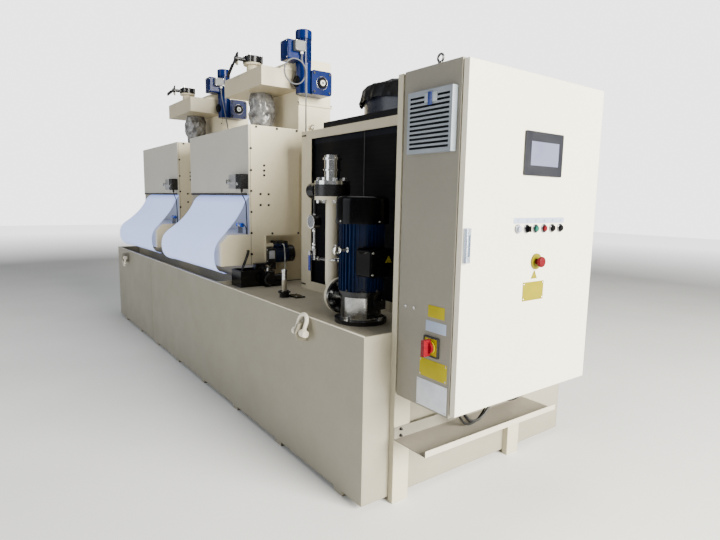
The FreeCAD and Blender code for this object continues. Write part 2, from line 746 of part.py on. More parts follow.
# Hollow feed trough that reaches over the unit, with the stub and pad of its hand valve
def feed_trough(x0, x1, x_valve):
    trough = hollow(x0, x1, y_unit_back - TROUGH_REACH, y_unit_back, z_trough, z_trough_top, COLUMN_WALL)
    stub = rod(x_valve, y_valve, z_trough_top, STUB_RADIUS, STUB_HEIGHT)
    pad = rod(x_valve, y_valve, z_trough_top + STUB_HEIGHT, PAD_RADIUS, PAD_THICKNESS)
    return trough.fuse([stub, pad]).removeSplitter()


# Lugged wafer valve lying on the pad, its neck and notch plate towards the front
def wafer_valve(x):
    ring = rod(x, y_valve, z_pad, WAFER_RADIUS, WAFER_HEIGHT)
    lugs = []
    for i in range(WAFER_LUGS):
        angle = math.radians(360.0 * (i + 0.5) / WAFER_LUGS)
        lugs.append(rod(x + LUG_CIRCLE * math.cos(angle), y_valve + LUG_CIRCLE * math.sin(angle), z_pad,
                        WAFER_LUG_RADIUS, WAFER_HEIGHT))
    neck = rod(x, y_valve, z_stem, NECK_RADIUS, NOTCH_PLATE_REACH, (0, -1, 0))
    plate = rod(x, y_notch, z_stem, NOTCH_PLATE_RADIUS, NOTCH_PLATE_THICKNESS, (0, -1, 0))
    right = block(x + NECK_RADIUS, x + NOTCH_PLATE_RADIUS, y_notch - NOTCH_PLATE_THICKNESS, y_notch,
                  z_stem - NOTCH_PLATE_RADIUS, z_stem + NOTCH_PLATE_RADIUS)
    stem = rod(x, y_notch, z_stem, STEM_PIN, NOTCH_PLATE_THICKNESS + SEAT + LEVER_HUB_LENGTH, (0, -1, 0))
    valve = ring.fuse(lugs + [neck, plate.cut(right), stem])
    bore = rod(x, y_valve, z_pad + WAFER_HEIGHT - WAFER_BORE_DEPTH, WAFER_BORE, WAFER_BORE_DEPTH)
    return valve.cut(bore).removeSplitter()


# Its lever: a hub on the stem, a flat bar with a round end and the latch bar under it
def valve_hand_lever(x, drop):
    y_bar = y_hub - LEVER_GAP
    hub = rod(x, y_hub, z_stem, LEVER_HUB, LEVER_HUB_LENGTH, (0, -1, 0))
    half = LEVER_WIDTH / 2
    bar = block(x - LEVER_LENGTH + half, x, y_bar - LEVER_THICKNESS, y_bar, z_stem - half, z_stem + half)
    end = rod(x - LEVER_LENGTH + half, y_bar, z_stem, half, LEVER_THICKNESS, (0, -1, 0))
    grip = block(x - LEVER_LENGTH + half, x - LEVER_LENGTH + half + LEVER_GRIP, y_bar - LEVER_THICKNESS - GRIP_DEPTH,
                 y_bar - LEVER_THICKNESS, z_stem - half, z_stem + half)
    grip = grip.makeFillet(GRIP_ROUND, edges_along(grip, "x", LEVER_GRIP))
    lever = hub.fuse([bar, end, grip])
    lever = lever.cut(rod(x, y_hub, z_stem, STEM_PIN + SEAT, LEVER_HUB_LENGTH, (0, -1, 0))).removeSplitter()
    lever.rotate(Vector(x, y_hub, z_stem), Vector(0, -1, 0), drop)
    return lever


# Film-wrapped duct that drops from the trough onto the unit's roof
def inlet_duct(x):
    y = y_unit_back - DUCT_OFFSET
    span = z_trough - z_roof
    profile = ((0.0, 0.0),) + DUCT_SHAPE + ((0.0, 1.0),)
    points = [Vector(x + DUCT_RADIUS * r, y, z_roof + span * t) for r, t in profile]
    return Part.Face(Part.makePolygon(points + points[:1])).revolve(Vector(x, y, 0), Vector(0, 0, 1), 360)


# Worm gear unit with its upright motor on the column's end face
def gear_case(x):
    x0 = x + GEAR_FLANGE
    housing = block(x0, x0 + GEAR_BODY, y_gear - GEAR_HALF, y_gear + GEAR_HALF, z_gear - GEAR_HALF, z_gear + GEAR_HALF)
    housing = housing.makeFillet(GEAR_CORNER, edges_along(housing, "x", GEAR_BODY))
    foot = rod(x, y_gear, z_gear, GEAR_FOOT_RADIUS, GEAR_FLANGE, (1, 0, 0))
    hub = rod(x0 + GEAR_BODY, y_gear, z_gear, HUB_RADIUS, HUB_LENGTH, (1, 0, 0))
    x_worm = x0 + GEAR_BODY / 2
    worm = rod(x_worm, y_worm, z_gear - GEAR_HALF, WORM_RADIUS, GEAR_HALF + MOTOR_BOTTOM)
    flange = rod(x_worm, y_worm, z_motor - MOTOR_FLANGE, MOTOR_RADIUS, MOTOR_FLANGE)
    bore = rod(x, y_gear, z_gear, HOLLOW_SHAFT, GEAR_FLANGE + GEAR_BODY + HUB_LENGTH, (1, 0, 0))
    return housing.fuse([foot, hub, worm, flange]).cut(bore).removeSplitter()


def gear_motor(x_worm):
    z_cowl = z_motor + MOTOR_LENGTH
    frame = finned(x_worm, y_worm, z_motor, MOTOR_RADIUS, MOTOR_LENGTH, MOTOR_FINS, FIN_DEPTH, MOTOR_FIN_WIDTH)
    cowl = rod(x_worm, y_worm, z_cowl, MOTOR_RADIUS + FAN_COVER_LIP, FAN_COVER_LENGTH)
    cowl = cowl.makeFillet(FAN_COVER_ROUND, top_edges(cowl, z_cowl + FAN_COVER_LENGTH))
    width, depth, height = TERMINAL_BOX
    y_box = y_worm - MOTOR_RADIUS - TERMINAL_GAP
    z_box = z_motor + TERMINAL_RAISE
    box = block(x_worm - width / 2, x_worm + width / 2, y_box - depth, y_box, z_box, z_box + height)
    box = box.makeFillet(TERMINAL_ROUND, edges_along(box, "y", depth))
    neck_width, neck_height = TERMINAL_NECK
    z_neck = z_box + (height - neck_height) / 2
    neck = block(x_worm - neck_width / 2, x_worm + neck_width / 2, y_box, y_worm, z_neck, z_neck + neck_height)
    box = box.fuse(neck.cut(rod(x_worm, y_worm, z_motor, MOTOR_RADIUS, MOTOR_LENGTH))).removeSplitter()
    plug_width, plug_depth, plug_height = PLUG_BOX
    x_plug = x_worm + width / 2
    y_plug = y_box + PLUG_PAST_BOX - plug_depth
    z_plug = z_motor + PLUG_RAISE
    plug = block(x_plug, x_plug + plug_width, y_plug, y_plug + plug_depth, z_plug, z_plug + plug_height)
    plug = plug.makeFillet(PLUG_ROUND, plug.Edges)
    gland = rod(x_plug + plug_width / 2, y_plug + GLAND_BACK, z_plug - GLAND_LENGTH, GLAND_RADIUS, GLAND_LENGTH)
    return [frame, cowl, box, plug.fuse(gland).removeSplitter()]


for side, x_side in unit_sides.items():
    x_other = x_side - UNIT_WIDTH
    x_in0 = x_other + SIDE_SHEET
    x_in1 = x_side - SIDE_SHEET
    upper = hollow(x_in0, x_in1, y_inner, y_panel, z_shelf, z_roof - SHELL_WALL, SHELL_WALL)
    roof = block(x_in0, x_in1, y_cover, y_panel, z_roof - SHELL_WALL, z_roof)
    save("filter_housing_" + side, side_panel(x_other, x_in0), upper, roof,
         side_panel(x_in1, x_side).fuse(drive_bracket(x_side)).removeSplitter(),
         lower_body(x_other + BODY_INSET, x_side - BODY_INSET))
    cover = block(x_other, x_side, y_cover - COVER_THICKNESS, y_cover, z_cover_low, z_roof)
    lip = block(x_in0 + SEAT, x_in1 - SEAT, y_cover, y_cover + COVER_RETURN, z_cover_low, z_cover_low + COVER_THICKNESS)
    save("front_cover_" + side, cover.fuse(lip).removeSplitter())
    nose = extrude_x([(y_nose, z_nose_low), (y_nose, z_nose_top - NOSE_CHAMFER),
                      (y_nose + NOSE_CHAMFER, z_nose_top), (y_cover, z_nose_top), (y_cover, z_nose_low)],
                     x_other, x_side)
    y_rear = y_front + NOSE_REAR
    rear = block(x_in0, x_in1, y_cover, y_rear, z_nose_low, z_nose_top)
    rear = rear.cut(block(x_in0, x_in1, y_lower, y_rear, z_nose_low, z_shelf))
    save("nose_box_" + side, nose.fuse(rear).removeSplitter())
    x_paper = x_side - PAPER_FROM_SIDE
    save("paper_web_" + side, paper_solid(x_paper - PAPER_WIDTH, x_paper))
    x_column = x_side - COLUMN_FROM_SIDE
    x_column_far = x_column - COLUMN_WIDTH
    hood = extrude_x([(y_unit_back - HOOD_REACH, z_trough_top), (y_unit_back, z_column), (y_unit_back, z_trough_top)],
                     x_column_far, x_column)
    save("lift_column_" + side, lift_column(x_column_far, x_column), hood)
    x_valve = x_side - VALVE_FROM_SIDE
    save("feed_trough_" + side, feed_trough(x_column_far, x_column, x_valve))
    save("inlet_lever_" + side, valve_hand_lever(x_valve, LEVER_DROPS[side]))
    save("inlet_duct_" + side, inlet_duct((x_column_far + x_column) / 2))
    save("gear_unit_" + side, gear_case(x_column), *gear_motor(x_column + GEAR_FLANGE + GEAR_BODY / 2))
save("inlet_valves", *[wafer_valve(x_side - VALVE_FROM_SIDE) for x_side in unit_sides.values()])


# Limit switch on the lower edge of each front cover and the sensor behind its paper
def limit_switch(x_side):
    y = y_cover - COVER_THICKNESS
    z = z_cover_low + SWITCH_RAISE
    x_head = x_side - SWITCH_FROM_SIDE
    x_body = x_head - SWITCH_HEAD_WIDTH
    body = block(x_body - SWITCH_BODY_WIDTH, x_body, y - SWITCH_BODY_DEPTH, y, z, z + SWITCH_HEIGHT)
    body = body.makeFillet(SWITCH_ROUND, edges_along(body, "y", SWITCH_BODY_DEPTH))
    head = block(x_body, x_head, y - SWITCH_HEAD_DEPTH, y, z, z + SWITCH_HEIGHT)
    head = head.makeFillet(SWITCH_ROUND, edges_along(head, "z", SWITCH_HEIGHT)[:2])
    x_plunger = x_body - SWITCH_BODY_WIDTH + PLUNGER_RADIUS
    plunger = rod(x_plunger, y - SWITCH_BODY_DEPTH, z + SWITCH_HEIGHT / 2, PLUNGER_RADIUS, PLUNGER_LENGTH, (0, -1, 0))
    return [body.fuse([head, plunger]).removeSplitter()]


def paper_sensor(x_side):
    x = x_side - SENSOR_FROM_SIDE - SENSOR_LENGTH
    y = y_front + SENSOR_FRONT
    z = z_nose_top + SENSOR_RISE
    barrel = rod(x, y, z, SENSOR_RADIUS, SENSOR_LENGTH, (1, 0, 0))
    x_plate = x + SENSOR_LENGTH / 2
    plate = block(x_plate, x_plate + SENSOR_BRACKET, y - SENSOR_PLATE / 2, y + SENSOR_PLATE / 2,
                  z_nose_top, z + SENSOR_PLATE / 2)
    return [barrel.fuse(plate).removeSplitter()]


switches = [limit_switch(x_side) + paper_sensor(x_side) for x_side in unit_sides.values()]
save("limit_switches", *sum(switches, []))


# Paper drive at the foot of each unit: gear case with its lower guard, finned motor, terminal box
def paper_drive(x_side):
    x0 = x_side - BODY_INSET + SEAT
    x1 = x_side + DRIVE_OUT
    case = block(x0, x1, y_case, y_case + DRIVE_CASE, z_drive - DRIVE_CASE_LOW, z_drive + DRIVE_CASE_HIGH)
    case = case.makeFillet(DRIVE_ROUND, edges_along(case, "y", DRIVE_CASE))
    guard = block(x1 - GUARD_WIDTH, x1, y_case - GUARD_LENGTH, y_case + DRIVE_CASE,
                  z_drive - DRIVE_CASE_LOW - GUARD_HEIGHT, z_drive - DRIVE_CASE_LOW)
    x = x_side - DRIVE_AXIS_IN
    y_motor = y_case + DRIVE_CASE
    motor = finned(0, 0, 0, DRIVE_MOTOR_RADIUS, DRIVE_MOTOR_LENGTH, DRIVE_FINS, FIN_DEPTH, MOTOR_FIN_WIDTH)
    motor.rotate(Vector(0, 0, 0), Vector(1, 0, 0), -90)
    motor.translate(Vector(x, y_motor, z_drive))
    cowl = rod(x, y_motor + DRIVE_MOTOR_LENGTH, z_drive, DRIVE_MOTOR_RADIUS, DRIVE_COWL, (0, 1, 0))
    width, depth, height = DRIVE_BOX
    y_box = y_motor + (DRIVE_MOTOR_LENGTH - depth) / 2
    box = block(x - width / 2, x + width / 2, y_box, y_box + depth, z_drive, z_drive + DRIVE_MOTOR_RADIUS + height)
    box = box.cut(rod(x, y_motor, z_drive, DRIVE_MOTOR_RADIUS, DRIVE_MOTOR_LENGTH, (0, 1, 0)))
    box = box.cut(block(x - width / 2, x + width / 2, y_box, y_box + depth, z_drive, z_drive + DRIVE_BOX_LOW))
    return [case.fuse(guard).removeSplitter(), motor, cowl, box]


drives = [paper_drive(x_side) for x_side in unit_sides.values()]
save("paper_drives", *sum(drives, []))


# Open collecting box under the nose of the first unit, with the small lift pump beside it
def drip_box(x_side):
    x1 = x_side + DRIP_PAST_SIDE
    x0 = x1 - DRIP_LENGTH
    y0 = y_front + DRIP_FRONT
    y1 = y0 + DRIP_WIDTH
    inner = block(x0 + DRIP_WALL, x1 - DRIP_WALL, y0 + DRIP_WALL, y1 - DRIP_WALL,
                  z_deck + DRIP_WALL, z_deck + DRIP_HEIGHT)
    return block(x0, x1, y0, y1, z_deck, z_deck + DRIP_HEIGHT).cut(inner)


def lift_pump(x_side):
    x0 = x_side + DRIP_PAST_SIDE
    width, depth, height = LIFT_PUMP_HEAD
    y0 = y_front + LIFT_PUMP_FRONT
    z0 = z_deck + LIFT_PUMP_FOOT
    foot = block(x0, x0 + width, y0, y0 + depth + LIFT_PUMP_LENGTH, z_deck, z0)
    head = block(x0, x0 + width, y0, y0 + depth, z0, z0 + height)
    head = head.makeFillet(LIFT_PUMP_ROUND, edges_along(head, "y", depth))
    x_axis = x0 + width / 2
    motor = rod(x_axis, y0 + depth, z0 + height / 2, LIFT_PUMP_RADIUS, LIFT_PUMP_LENGTH, (0, 1, 0))
    web = block(x_axis - LIFT_PUMP_WEB / 2, x_axis + LIFT_PUMP_WEB / 2, y0 + depth, y0 + depth + LIFT_PUMP_LENGTH,
                z0, z0 + height / 2)
    return foot.fuse([head, motor, web]).removeSplitter()


x_first = unit_sides["right"]
x_plate = x_end - PLATE_FROM_END
y_plate = y_front + PLATE_Y
cover_plate = block(x_plate, x_plate + PLATE_LENGTH, y_plate, y_plate + PLATE_WIDTH, z_deck, z_deck + PLATE_THICKNESS)
save("drip_box", drip_box(x_first), lift_pump(x_first), cover_plate)

# Level switch on the deck
x_level = x_end - LEVEL_FROM_END
y_level = y_front + LEVEL_Y
z_level = z_deck + LEVEL_FOOT_HEIGHT
level = rod(x_level, y_level, z_deck, LEVEL_FOOT, LEVEL_FOOT_HEIGHT).fuse([
    rod(x_level, y_level, z_level, LEVEL_FLANGE, LEVEL_FLANGE_THICKNESS),
    rod(x_level, y_level, z_level, LEVEL_STEM, LEVEL_RISE - LEVEL_FOOT_HEIGHT)])
level = level.removeSplitter()
save("level_switch", level.makeFillet(LEVEL_ROUND, top_edges(level, z_deck + LEVEL_RISE)))

# Chiller: sheet frame open at the front, condenser panel behind it, fan shroud on the roof
x_chiller = x_end - CHILLER_LEFT
x_chiller_end = x_end - CHILLER_RIGHT
y_chiller = y_front + CHILLER_FRONT
y_chiller_back = y_front + CHILLER_BACK
z_chiller = z_deck + CHILLER_HEIGHT
chiller = hollow(x_chiller, x_chiller_end, y_chiller, y_chiller_back, z_deck, z_chiller, CHILLER_SHEET)
save("chiller_body", chiller.cut(block(
    x_chiller + CHILLER_POST, x_chiller_end - CHILLER_POST, y_chiller, y_chiller + CHILLER_SHEET,
    z_deck + CHILLER_LOW_RAIL, z_chiller - CHILLER_TOP_RAIL)))
y_mesh = y_chiller + PANEL_SETBACK
save("condenser_panel", block(x_chiller + CHILLER_SHEET, x_chiller_end - CHILLER_SHEET, y_mesh, y_mesh + PANEL_THICKNESS,
                              z_deck + CHILLER_SHEET, z_chiller - CHILLER_SHEET))
margin_x, margin_front, margin_back = ROOF_MARGINS
x_fan = (x_chiller + x_chiller_end) / 2
y_fan = (y_chiller + y_chiller_back) / 2
z_fan = z_chiller + ROOF_PLATE
roof_tray = block(x_chiller + margin_x, x_chiller_end - margin_x, y_chiller + margin_front,
                  y_chiller_back - margin_back, z_chiller, z_fan)
shroud = rod(x_fan, y_fan, z_fan, FAN_RADIUS, FAN_HEIGHT)
rim = rod(x_fan, y_fan, z_fan + FAN_HEIGHT - FAN_RIM_HEIGHT, FAN_RADIUS + FAN_RIM, FAN_RIM_HEIGHT)
save("fan_shroud", roof_tray.fuse([shroud, rim]).removeSplitter())

# Vertical pump: head with discharge port on the deck, lantern with guarded windows, crown
x_pump = x_end - PUMP_FROM_END
y_pump = y_front + PUMP_Y
z_lantern = z_deck + PUMP_BASE_HEIGHT
z_crown = z_deck + STOOL_TOP - CROWN_HEIGHT
z_port = z_deck + PORT_HEIGHT
z_pump_motor = z_deck + STOOL_TOP


def tube(x, y, z, radius, wall, length):
    return rod(x, y, z, radius, length).cut(rod(x, y, z, radius - wall, length))


def window_block(radius, width, low, high):
    cutter = block(x_pump - radius, x_pump + radius, y_pump - width / 2, y_pump + width / 2, low, high)
    cutter.rotate(Vector(x_pump, y_pump, 0), Vector(0, 0, 1), STOOL_WINDOW_TURN)
    return cutter


base = rod(x_pump, y_pump, z_deck, PUMP_BASE_RADIUS, PUMP_BASE_HEIGHT)
z_window = z_lantern + STOOL_WINDOW_LOW
z_window_top = z_window + STOOL_WINDOW_HEIGHT
lantern = tube(x_pump, y_pump, z_lantern, STOOL_RADIUS, STOOL_WALL, z_crown - z_lantern)
lantern = lantern.cut(window_block(2 * STOOL_RADIUS, STOOL_WINDOW, z_window, z_window_top))
guard = tube(x_pump, y_pump, z_window - GUARD_EDGE, STOOL_RADIUS + GUARD_SHEET, GUARD_SHEET,
             STOOL_WINDOW_HEIGHT + 2 * GUARD_EDGE)
guard = guard.common(window_block(2 * STOOL_RADIUS, STOOL_WINDOW + 2 * GUARD_EDGE, z_lantern, z_crown))
drive_shaft = rod(x_pump, y_pump, z_lantern, SHAFT_RADIUS, z_crown - z_lantern)
crown = rod(x_pump, y_pump, z_crown, CROWN_RADIUS, CROWN_HEIGHT)
port = rod(x_pump - STOOL_RADIUS + STOOL_WALL, y_pump, z_port, PORT_RADIUS,
           PORT_REACH - FLANGE_THICKNESS - STOOL_RADIUS + STOOL_WALL, (-1, 0, 0))
port_flange = rod(x_pump - PORT_REACH + FLANGE_THICKNESS, y_pump, z_port, FLANGE_RADIUS, FLANGE_THICKNESS, (-1, 0, 0))
head = base.fuse([lantern, guard, drive_shaft, crown, port, port_flange]).removeSplitter()
save("pump_head", head)

# Pump motor: finned frame, fan cowl, terminal box on its side and a lifting eye
frame = finned(x_pump, y_pump, z_pump_motor, PUMP_MOTOR_RADIUS, PUMP_MOTOR_TOP - STOOL_TOP,
               PUMP_FINS, PUMP_FIN_DEPTH, PUMP_FIN_WIDTH)
cowl = rod(x_pump, y_pump, z_deck + PUMP_MOTOR_TOP, PUMP_COWL_RADIUS, PUMP_COWL_TOP - PUMP_MOTOR_TOP)
cowl = cowl.makeFillet(PUMP_COWL_ROUND, top_edges(cowl, z_deck + PUMP_COWL_TOP))
width, depth, height = PUMP_BOX
terminal = block(x_pump + PUMP_BOX_IN, x_pump + PUMP_BOX_IN + width, y_pump - PUMP_BOX_FRONT,
                 y_pump - PUMP_BOX_FRONT + depth, z_deck + PUMP_BOX_RAISE, z_deck + PUMP_BOX_RAISE + height)
terminal = terminal.makeFillet(PUMP_BOX_ROUND, edges_along(terminal, "x", width))
terminal = terminal.cut(rod(x_pump, y_pump, z_pump_motor, PUMP_MOTOR_RADIUS, PUMP_MOTOR_TOP))
z_lift_eye = z_deck + LIFT_EYE_RISE
lift_eye = rod(x_pump + PUMP_MOTOR_RADIUS, y_pump, z_lift_eye, LIFT_EYE_BOSS_RADIUS, LIFT_EYE_BOSS, (1, 0, 0))
x_ring = x_pump + PUMP_MOTOR_RADIUS + LIFT_EYE_BOSS + LIFT_EYE_RING
lift_eye = lift_eye.fuse(Part.makeTorus(LIFT_EYE_RING, LIFT_EYE_ROD, Vector(x_ring, y_pump, z_lift_eye), Vector(0, 0, 1)))
lift_eye = lift_eye.removeSplitter()
lift_eye.rotate(Vector(x_pump, y_pump, 0), Vector(0, 0, 1), LIFT_EYE_TURN)
save("pump_motor", frame, cowl, terminal, lift_eye)

# Discharge pipe: flange, elbow, riser and top flange
x_riser = x_pump - PIPE_OFFSET
x_port = x_pump - PORT_REACH
bend = x_port - FLANGE_THICKNESS - x_riser
bend_drop = bend * math.sin(math.pi / 4)
route = Part.Wire([
    Part.makeLine(Vector(x_port, y_pump, z_port), Vector(x_riser + bend, y_pump, z_port)),
    Part.Arc(Vector(x_riser + bend, y_pump, z_port),
             Vector(x_riser + bend - bend_drop, y_pump, z_port + bend - bend_drop),
             Vector(x_riser, y_pump, z_port + bend)).toShape(),
    Part.makeLine(Vector(x_riser, y_pump, z_port + bend), Vector(x_riser, y_pump, z_deck + PIPE_TOP))])
ring = Part.Wire(Part.makeCircle(PIPE_RADIUS, Vector(x_port, y_pump, z_port), Vector(-1, 0, 0)))
pipe = route.makePipeShell([ring], True, True)
low_flange = rod(x_port, y_pump, z_port, FLANGE_RADIUS, FLANGE_THICKNESS, (-1, 0, 0))
top_flange = rod(x_riser, y_pump, z_deck + PIPE_TOP, FLANGE_RADIUS, FLANGE_THICKNESS)
save("discharge_pipe", pipe.fuse([low_flange, top_flange]).removeSplitter())

# Butterfly valve between the flanges with its worm gearbox, and the hose coupling on top
z_valve = z_deck + PIPE_TOP + FLANGE_THICKNESS
z_valve_axis = z_valve + VALVE_HEIGHT / 2
x_gearbox = x_riser - GEARBOX_REACH
body = rod(x_riser, y_pump, z_valve, VALVE_RADIUS, VALVE_HEIGHT)
gearbox = rod(x_gearbox, y_pump, z_valve_axis, GEARBOX_RADIUS, GEARBOX_LENGTH, (1, 0, 0))
neck = rod(x_gearbox + GEARBOX_LENGTH, y_pump, z_valve_axis, STEM_RADIUS, GEARBOX_REACH - GEARBOX_LENGTH, (1, 0, 0))
save("butterfly_valve", body.fuse([gearbox, neck]).removeSplitter())
z_coupling = z_valve + VALVE_HEIGHT
z_neck = z_coupling + FLANGE_THICKNESS
coupling = rod(x_riser, y_pump, z_coupling, FLANGE_RADIUS, FLANGE_THICKNESS).fuse(
    [rod(x_riser, y_pump, z_neck, COUPLING_RADIUS, COUPLING_HEIGHT)]
    + [rod(x_riser, y_pump, z_neck + rise, COUPLING_RADIUS + out, thickness)
       for rise, out, thickness in COUPLING_RINGS])
bore = rod(x_riser, y_pump, z_coupling, COUPLING_RADIUS - COUPLING_WALL, FLANGE_THICKNESS + COUPLING_HEIGHT)
save("hose_coupling", coupling.cut(bore).removeSplitter())

# Gauge line beside the riser: tube, gauge, ball valve and link to the riser
x_gauge = x_riser - GAUGE_OFFSET
z_gauge_foot = z_deck + GAUGE_FOOT
z_link = z_deck + LINK_RISE
z_gauge = z_deck + GAUGE_RISE
line = rod(x_gauge, y_pump, z_gauge_foot, GAUGE_TUBE, z_valve_axis - GEARBOX_RADIUS - z_gauge_foot)
gauge = rod(x_gauge, y_pump - GAUGE_DEPTH / 2, z_gauge, GAUGE_RADIUS, GAUGE_DEPTH, (0, 1, 0))
link = rod(x_gauge, y_pump, z_link, GAUGE_TUBE, x_riser - PIPE_RADIUS - x_gauge, (1, 0, 0))
ball = rod(x_gauge, y_pump, z_link + BALL_RAISE, BALL_RADIUS, BALL_LENGTH)
save("gauge_line", line.fuse([gauge, link, ball]).removeSplitter())
y_ball = y_pump - BALL_RADIUS - BALL_HUB_LENGTH
z_ball = z_link + BALL_RAISE + BALL_LENGTH / 2
thickness, width, length = BALL_LEVER
ball_hub = rod(x_gauge, y_ball, z_ball, BALL_HUB_RADIUS, BALL_HUB_LENGTH - SEAT, (0, 1, 0))
ball_bar = block(x_gauge - width / 2, x_gauge + width / 2, y_ball, y_ball + thickness, z_ball - length, z_ball)
save("ball_valve_lever", ball_hub.fuse(ball_bar).removeSplitter())

# Control cabinet on two posts at the tank's end
y_cabinet = y_front + CABINET_Y
y_cabinet_end = y_cabinet + CABINET_WIDTH
x_post = x_end + POST_DEPTH
x_cabinet = x_post + CABINET_GAP
x_mouth = x_cabinet + CABINET_DEPTH
z_cabinet = CABINET_BOTTOM
z_cabinet_top = z_cabinet + CABINET_HEIGHT
posts = []
for y in (y_cabinet, y_cabinet_end - POST_WIDTH):
    spacers = [rod(x_post, y + POST_WIDTH / 2, z, SPACER_RADIUS, CABINET_GAP, (1, 0, 0))
               for z in (z_cabinet + SPACER_FROM_END, z_cabinet_top - SPACER_FROM_END)]
    posts.append(block(x_end, x_post, y, y + POST_WIDTH, 0, POST_HEIGHT).fuse(spacers).removeSplitter())
save("cabinet_posts", *posts)

shell = hollow(x_cabinet, x_mouth, y_cabinet, y_cabinet_end, z_cabinet, z_cabinet_top, CABINET_SHEET)
shell = shell.cut(block(x_mouth - CABINET_SHEET, x_mouth, y_cabinet + CABINET_FRAME, y_cabinet_end - CABINET_FRAME,
                        z_cabinet + CABINET_FRAME, z_cabinet_top - CABINET_FRAME))
x_hinge = x_mouth + DOOR_GAP / 2
y_hinge = y_cabinet_end + HINGE_RADIUS + HINGE_SIDE_GAP
hinge_heights = (z_cabinet + HINGE_LOW, z_cabinet_top - HINGE_HIGH)
leaves = []
for z in hinge_heights:
    leaf = block(x_hinge - HINGE_LEAF, x_hinge, y_cabinet_end, y_cabinet_end + HINGE_LEAF_SHEET, z, z + HINGE_BARREL)
    leaves.append(leaf.fuse([rod(x_hinge, y_hinge, z, HINGE_RADIUS, HINGE_BARREL),
                             rod(x_hinge, y_hinge, z, HINGE_PIN, 2 * HINGE_BARREL)]))
x_eye = x_cabinet + ROOF_EYE_X
y_eye = y_cabinet + ROOF_EYE_Y
roof_eye = Part.makeTorus(ROOF_EYE_RING, ROOF_EYE_ROD, Vector(x_eye, y_eye, z_cabinet_top + ROOF_EYE_RISE), Vector(0, 1, 0))
boss = rod(x_eye, y_eye, z_cabinet_top, ROOF_EYE_BOSS, ROOF_EYE_RISE - ROOF_EYE_RING)
save("cabinet_shell", shell.fuse(leaves + [boss, roof_eye]).removeSplitter())
x_mount = x_cabinet + PLATE_STANDOFF
standoffs = [block(x_cabinet + CABINET_SHEET, x_mount, y, y + STANDOFF_SIDE, z, z + STANDOFF_SIDE)
             for y in (y_cabinet + PLATE_SIDE + STANDOFF_SIDE, y_cabinet_end - PLATE_SIDE - 2 * STANDOFF_SIDE)
             for z in (z_cabinet + PLATE_END + STANDOFF_SIDE, z_cabinet_top - PLATE_END - 2 * STANDOFF_SIDE)]
mount = block(x_mount, x_mount + PLATE_SHEET, y_cabinet + PLATE_SIDE, y_cabinet_end - PLATE_SIDE,
              z_cabinet + PLATE_END, z_cabinet_top - PLATE_END)
save("mounting_plate", mount.fuse(standoffs).removeSplitter())

# Cabinet door: a tray of sheet with hinge knuckles, latch bar and operator panel
x_door = x_mouth + DOOR_GAP
x_face = x_door + DOOR_DEPTH
y_door = y_cabinet + DOOR_EDGE_GAP
y_door_end = y_cabinet_end - DOOR_EDGE_GAP
z_door = z_cabinet + DOOR_LOW_GAP
z_door_top = z_cabinet_top - DOOR_EDGE_GAP
door = block(x_door, x_face, y_door, y_door_end, z_door, z_door_top).cut(
    block(x_door, x_face - CABINET_SHEET, y_door + CABINET_SHEET, y_door_end - CABINET_SHEET,
          z_door + CABINET_SHEET, z_door_top - CABINET_SHEET))
knuckles = []
for z in hinge_heights:
    low = z + HINGE_BARREL + KNUCKLE_GAP
    high = z + 2 * HINGE_BARREL - KNUCKLE_GAP
    barrel = rod(x_hinge, y_hinge, low, HINGE_RADIUS, high - low)
    arm = block(x_door, x_door + HINGE_LEAF_SHEET, y_door_end - CABINET_SHEET, y_hinge, low, high)
    knuckles.append(arm.fuse(barrel).cut(rod(x_hinge, y_hinge, z, HINGE_PIN + HINGE_CLEARANCE, 3 * HINGE_BARREL)))
save("cabinet_door", door.fuse(knuckles).removeSplitter())
y_latch = y_door + LATCH_FROM_EDGE
z_latch = z_cabinet + LATCH_RISE
width, length, depth = LATCH_POCKET
latch = block(x_face, x_face + LATCH_DEPTH, y_latch - LATCH_WIDTH / 2, y_latch + LATCH_WIDTH / 2,
              z_latch, z_latch + LATCH_LENGTH)
latch = latch.makeFillet(LATCH_ROUND, [e for e in edges_along(latch, "z", LATCH_LENGTH) if e.CenterOfMass.x > x_face + 1])
z_pocket = z_latch + (LATCH_LENGTH - length) / 2
save("door_latch", latch.cut(block(x_face + LATCH_DEPTH - depth, x_face + LATCH_DEPTH, y_latch - width / 2,
                                   y_latch + width / 2, z_pocket, z_pocket + length)))
y_screen = y_front + SCREEN_Y
z_screen = z_low + SCREEN_RISE
width, height = SCREEN_GLASS
y_glass = y_screen + SCREEN_GLASS_SIDE
z_glass = z_screen + SCREEN_GLASS_RISE
screen = block(x_face, x_face + SCREEN_DEPTH, y_screen, y_screen + SCREEN_WIDTH, z_screen, z_screen + SCREEN_HEIGHT)
screen = screen.makeFillet(SCREEN_ROUND, edges_along(screen, "x", SCREEN_DEPTH))
save("hmi_panel", screen.cut(block(x_face + SCREEN_DEPTH - SCREEN_RECESS, x_face + SCREEN_DEPTH, y_glass, y_glass + width,
                                   z_glass, z_glass + height)))

# Door controls in a row, the emergency stop below them
z_row = z_low + ROW_RISE
row = [y_front + ROW_Y + ROW_PITCH * i for i in range(ROW_COUNT)]
lamp = rod(x_face, row[0], z_row, CAP_RADIUS, BEZEL_DEPTH + LAMP_OUT, (1, 0, 0))
bezels = [rod(x_face, row[0], z_row, BEZEL_RADIUS, BEZEL_DEPTH, (1, 0, 0)).fuse(lamp).removeSplitter()]


def bored_ring(y, z, radius):
    ring = rod(x_face, y, z, radius, BEZEL_DEPTH, (1, 0, 0))
    return ring.cut(rod(x_face, y, z, CAP_RADIUS + SEAT, BEZEL_DEPTH, (1, 0, 0)))


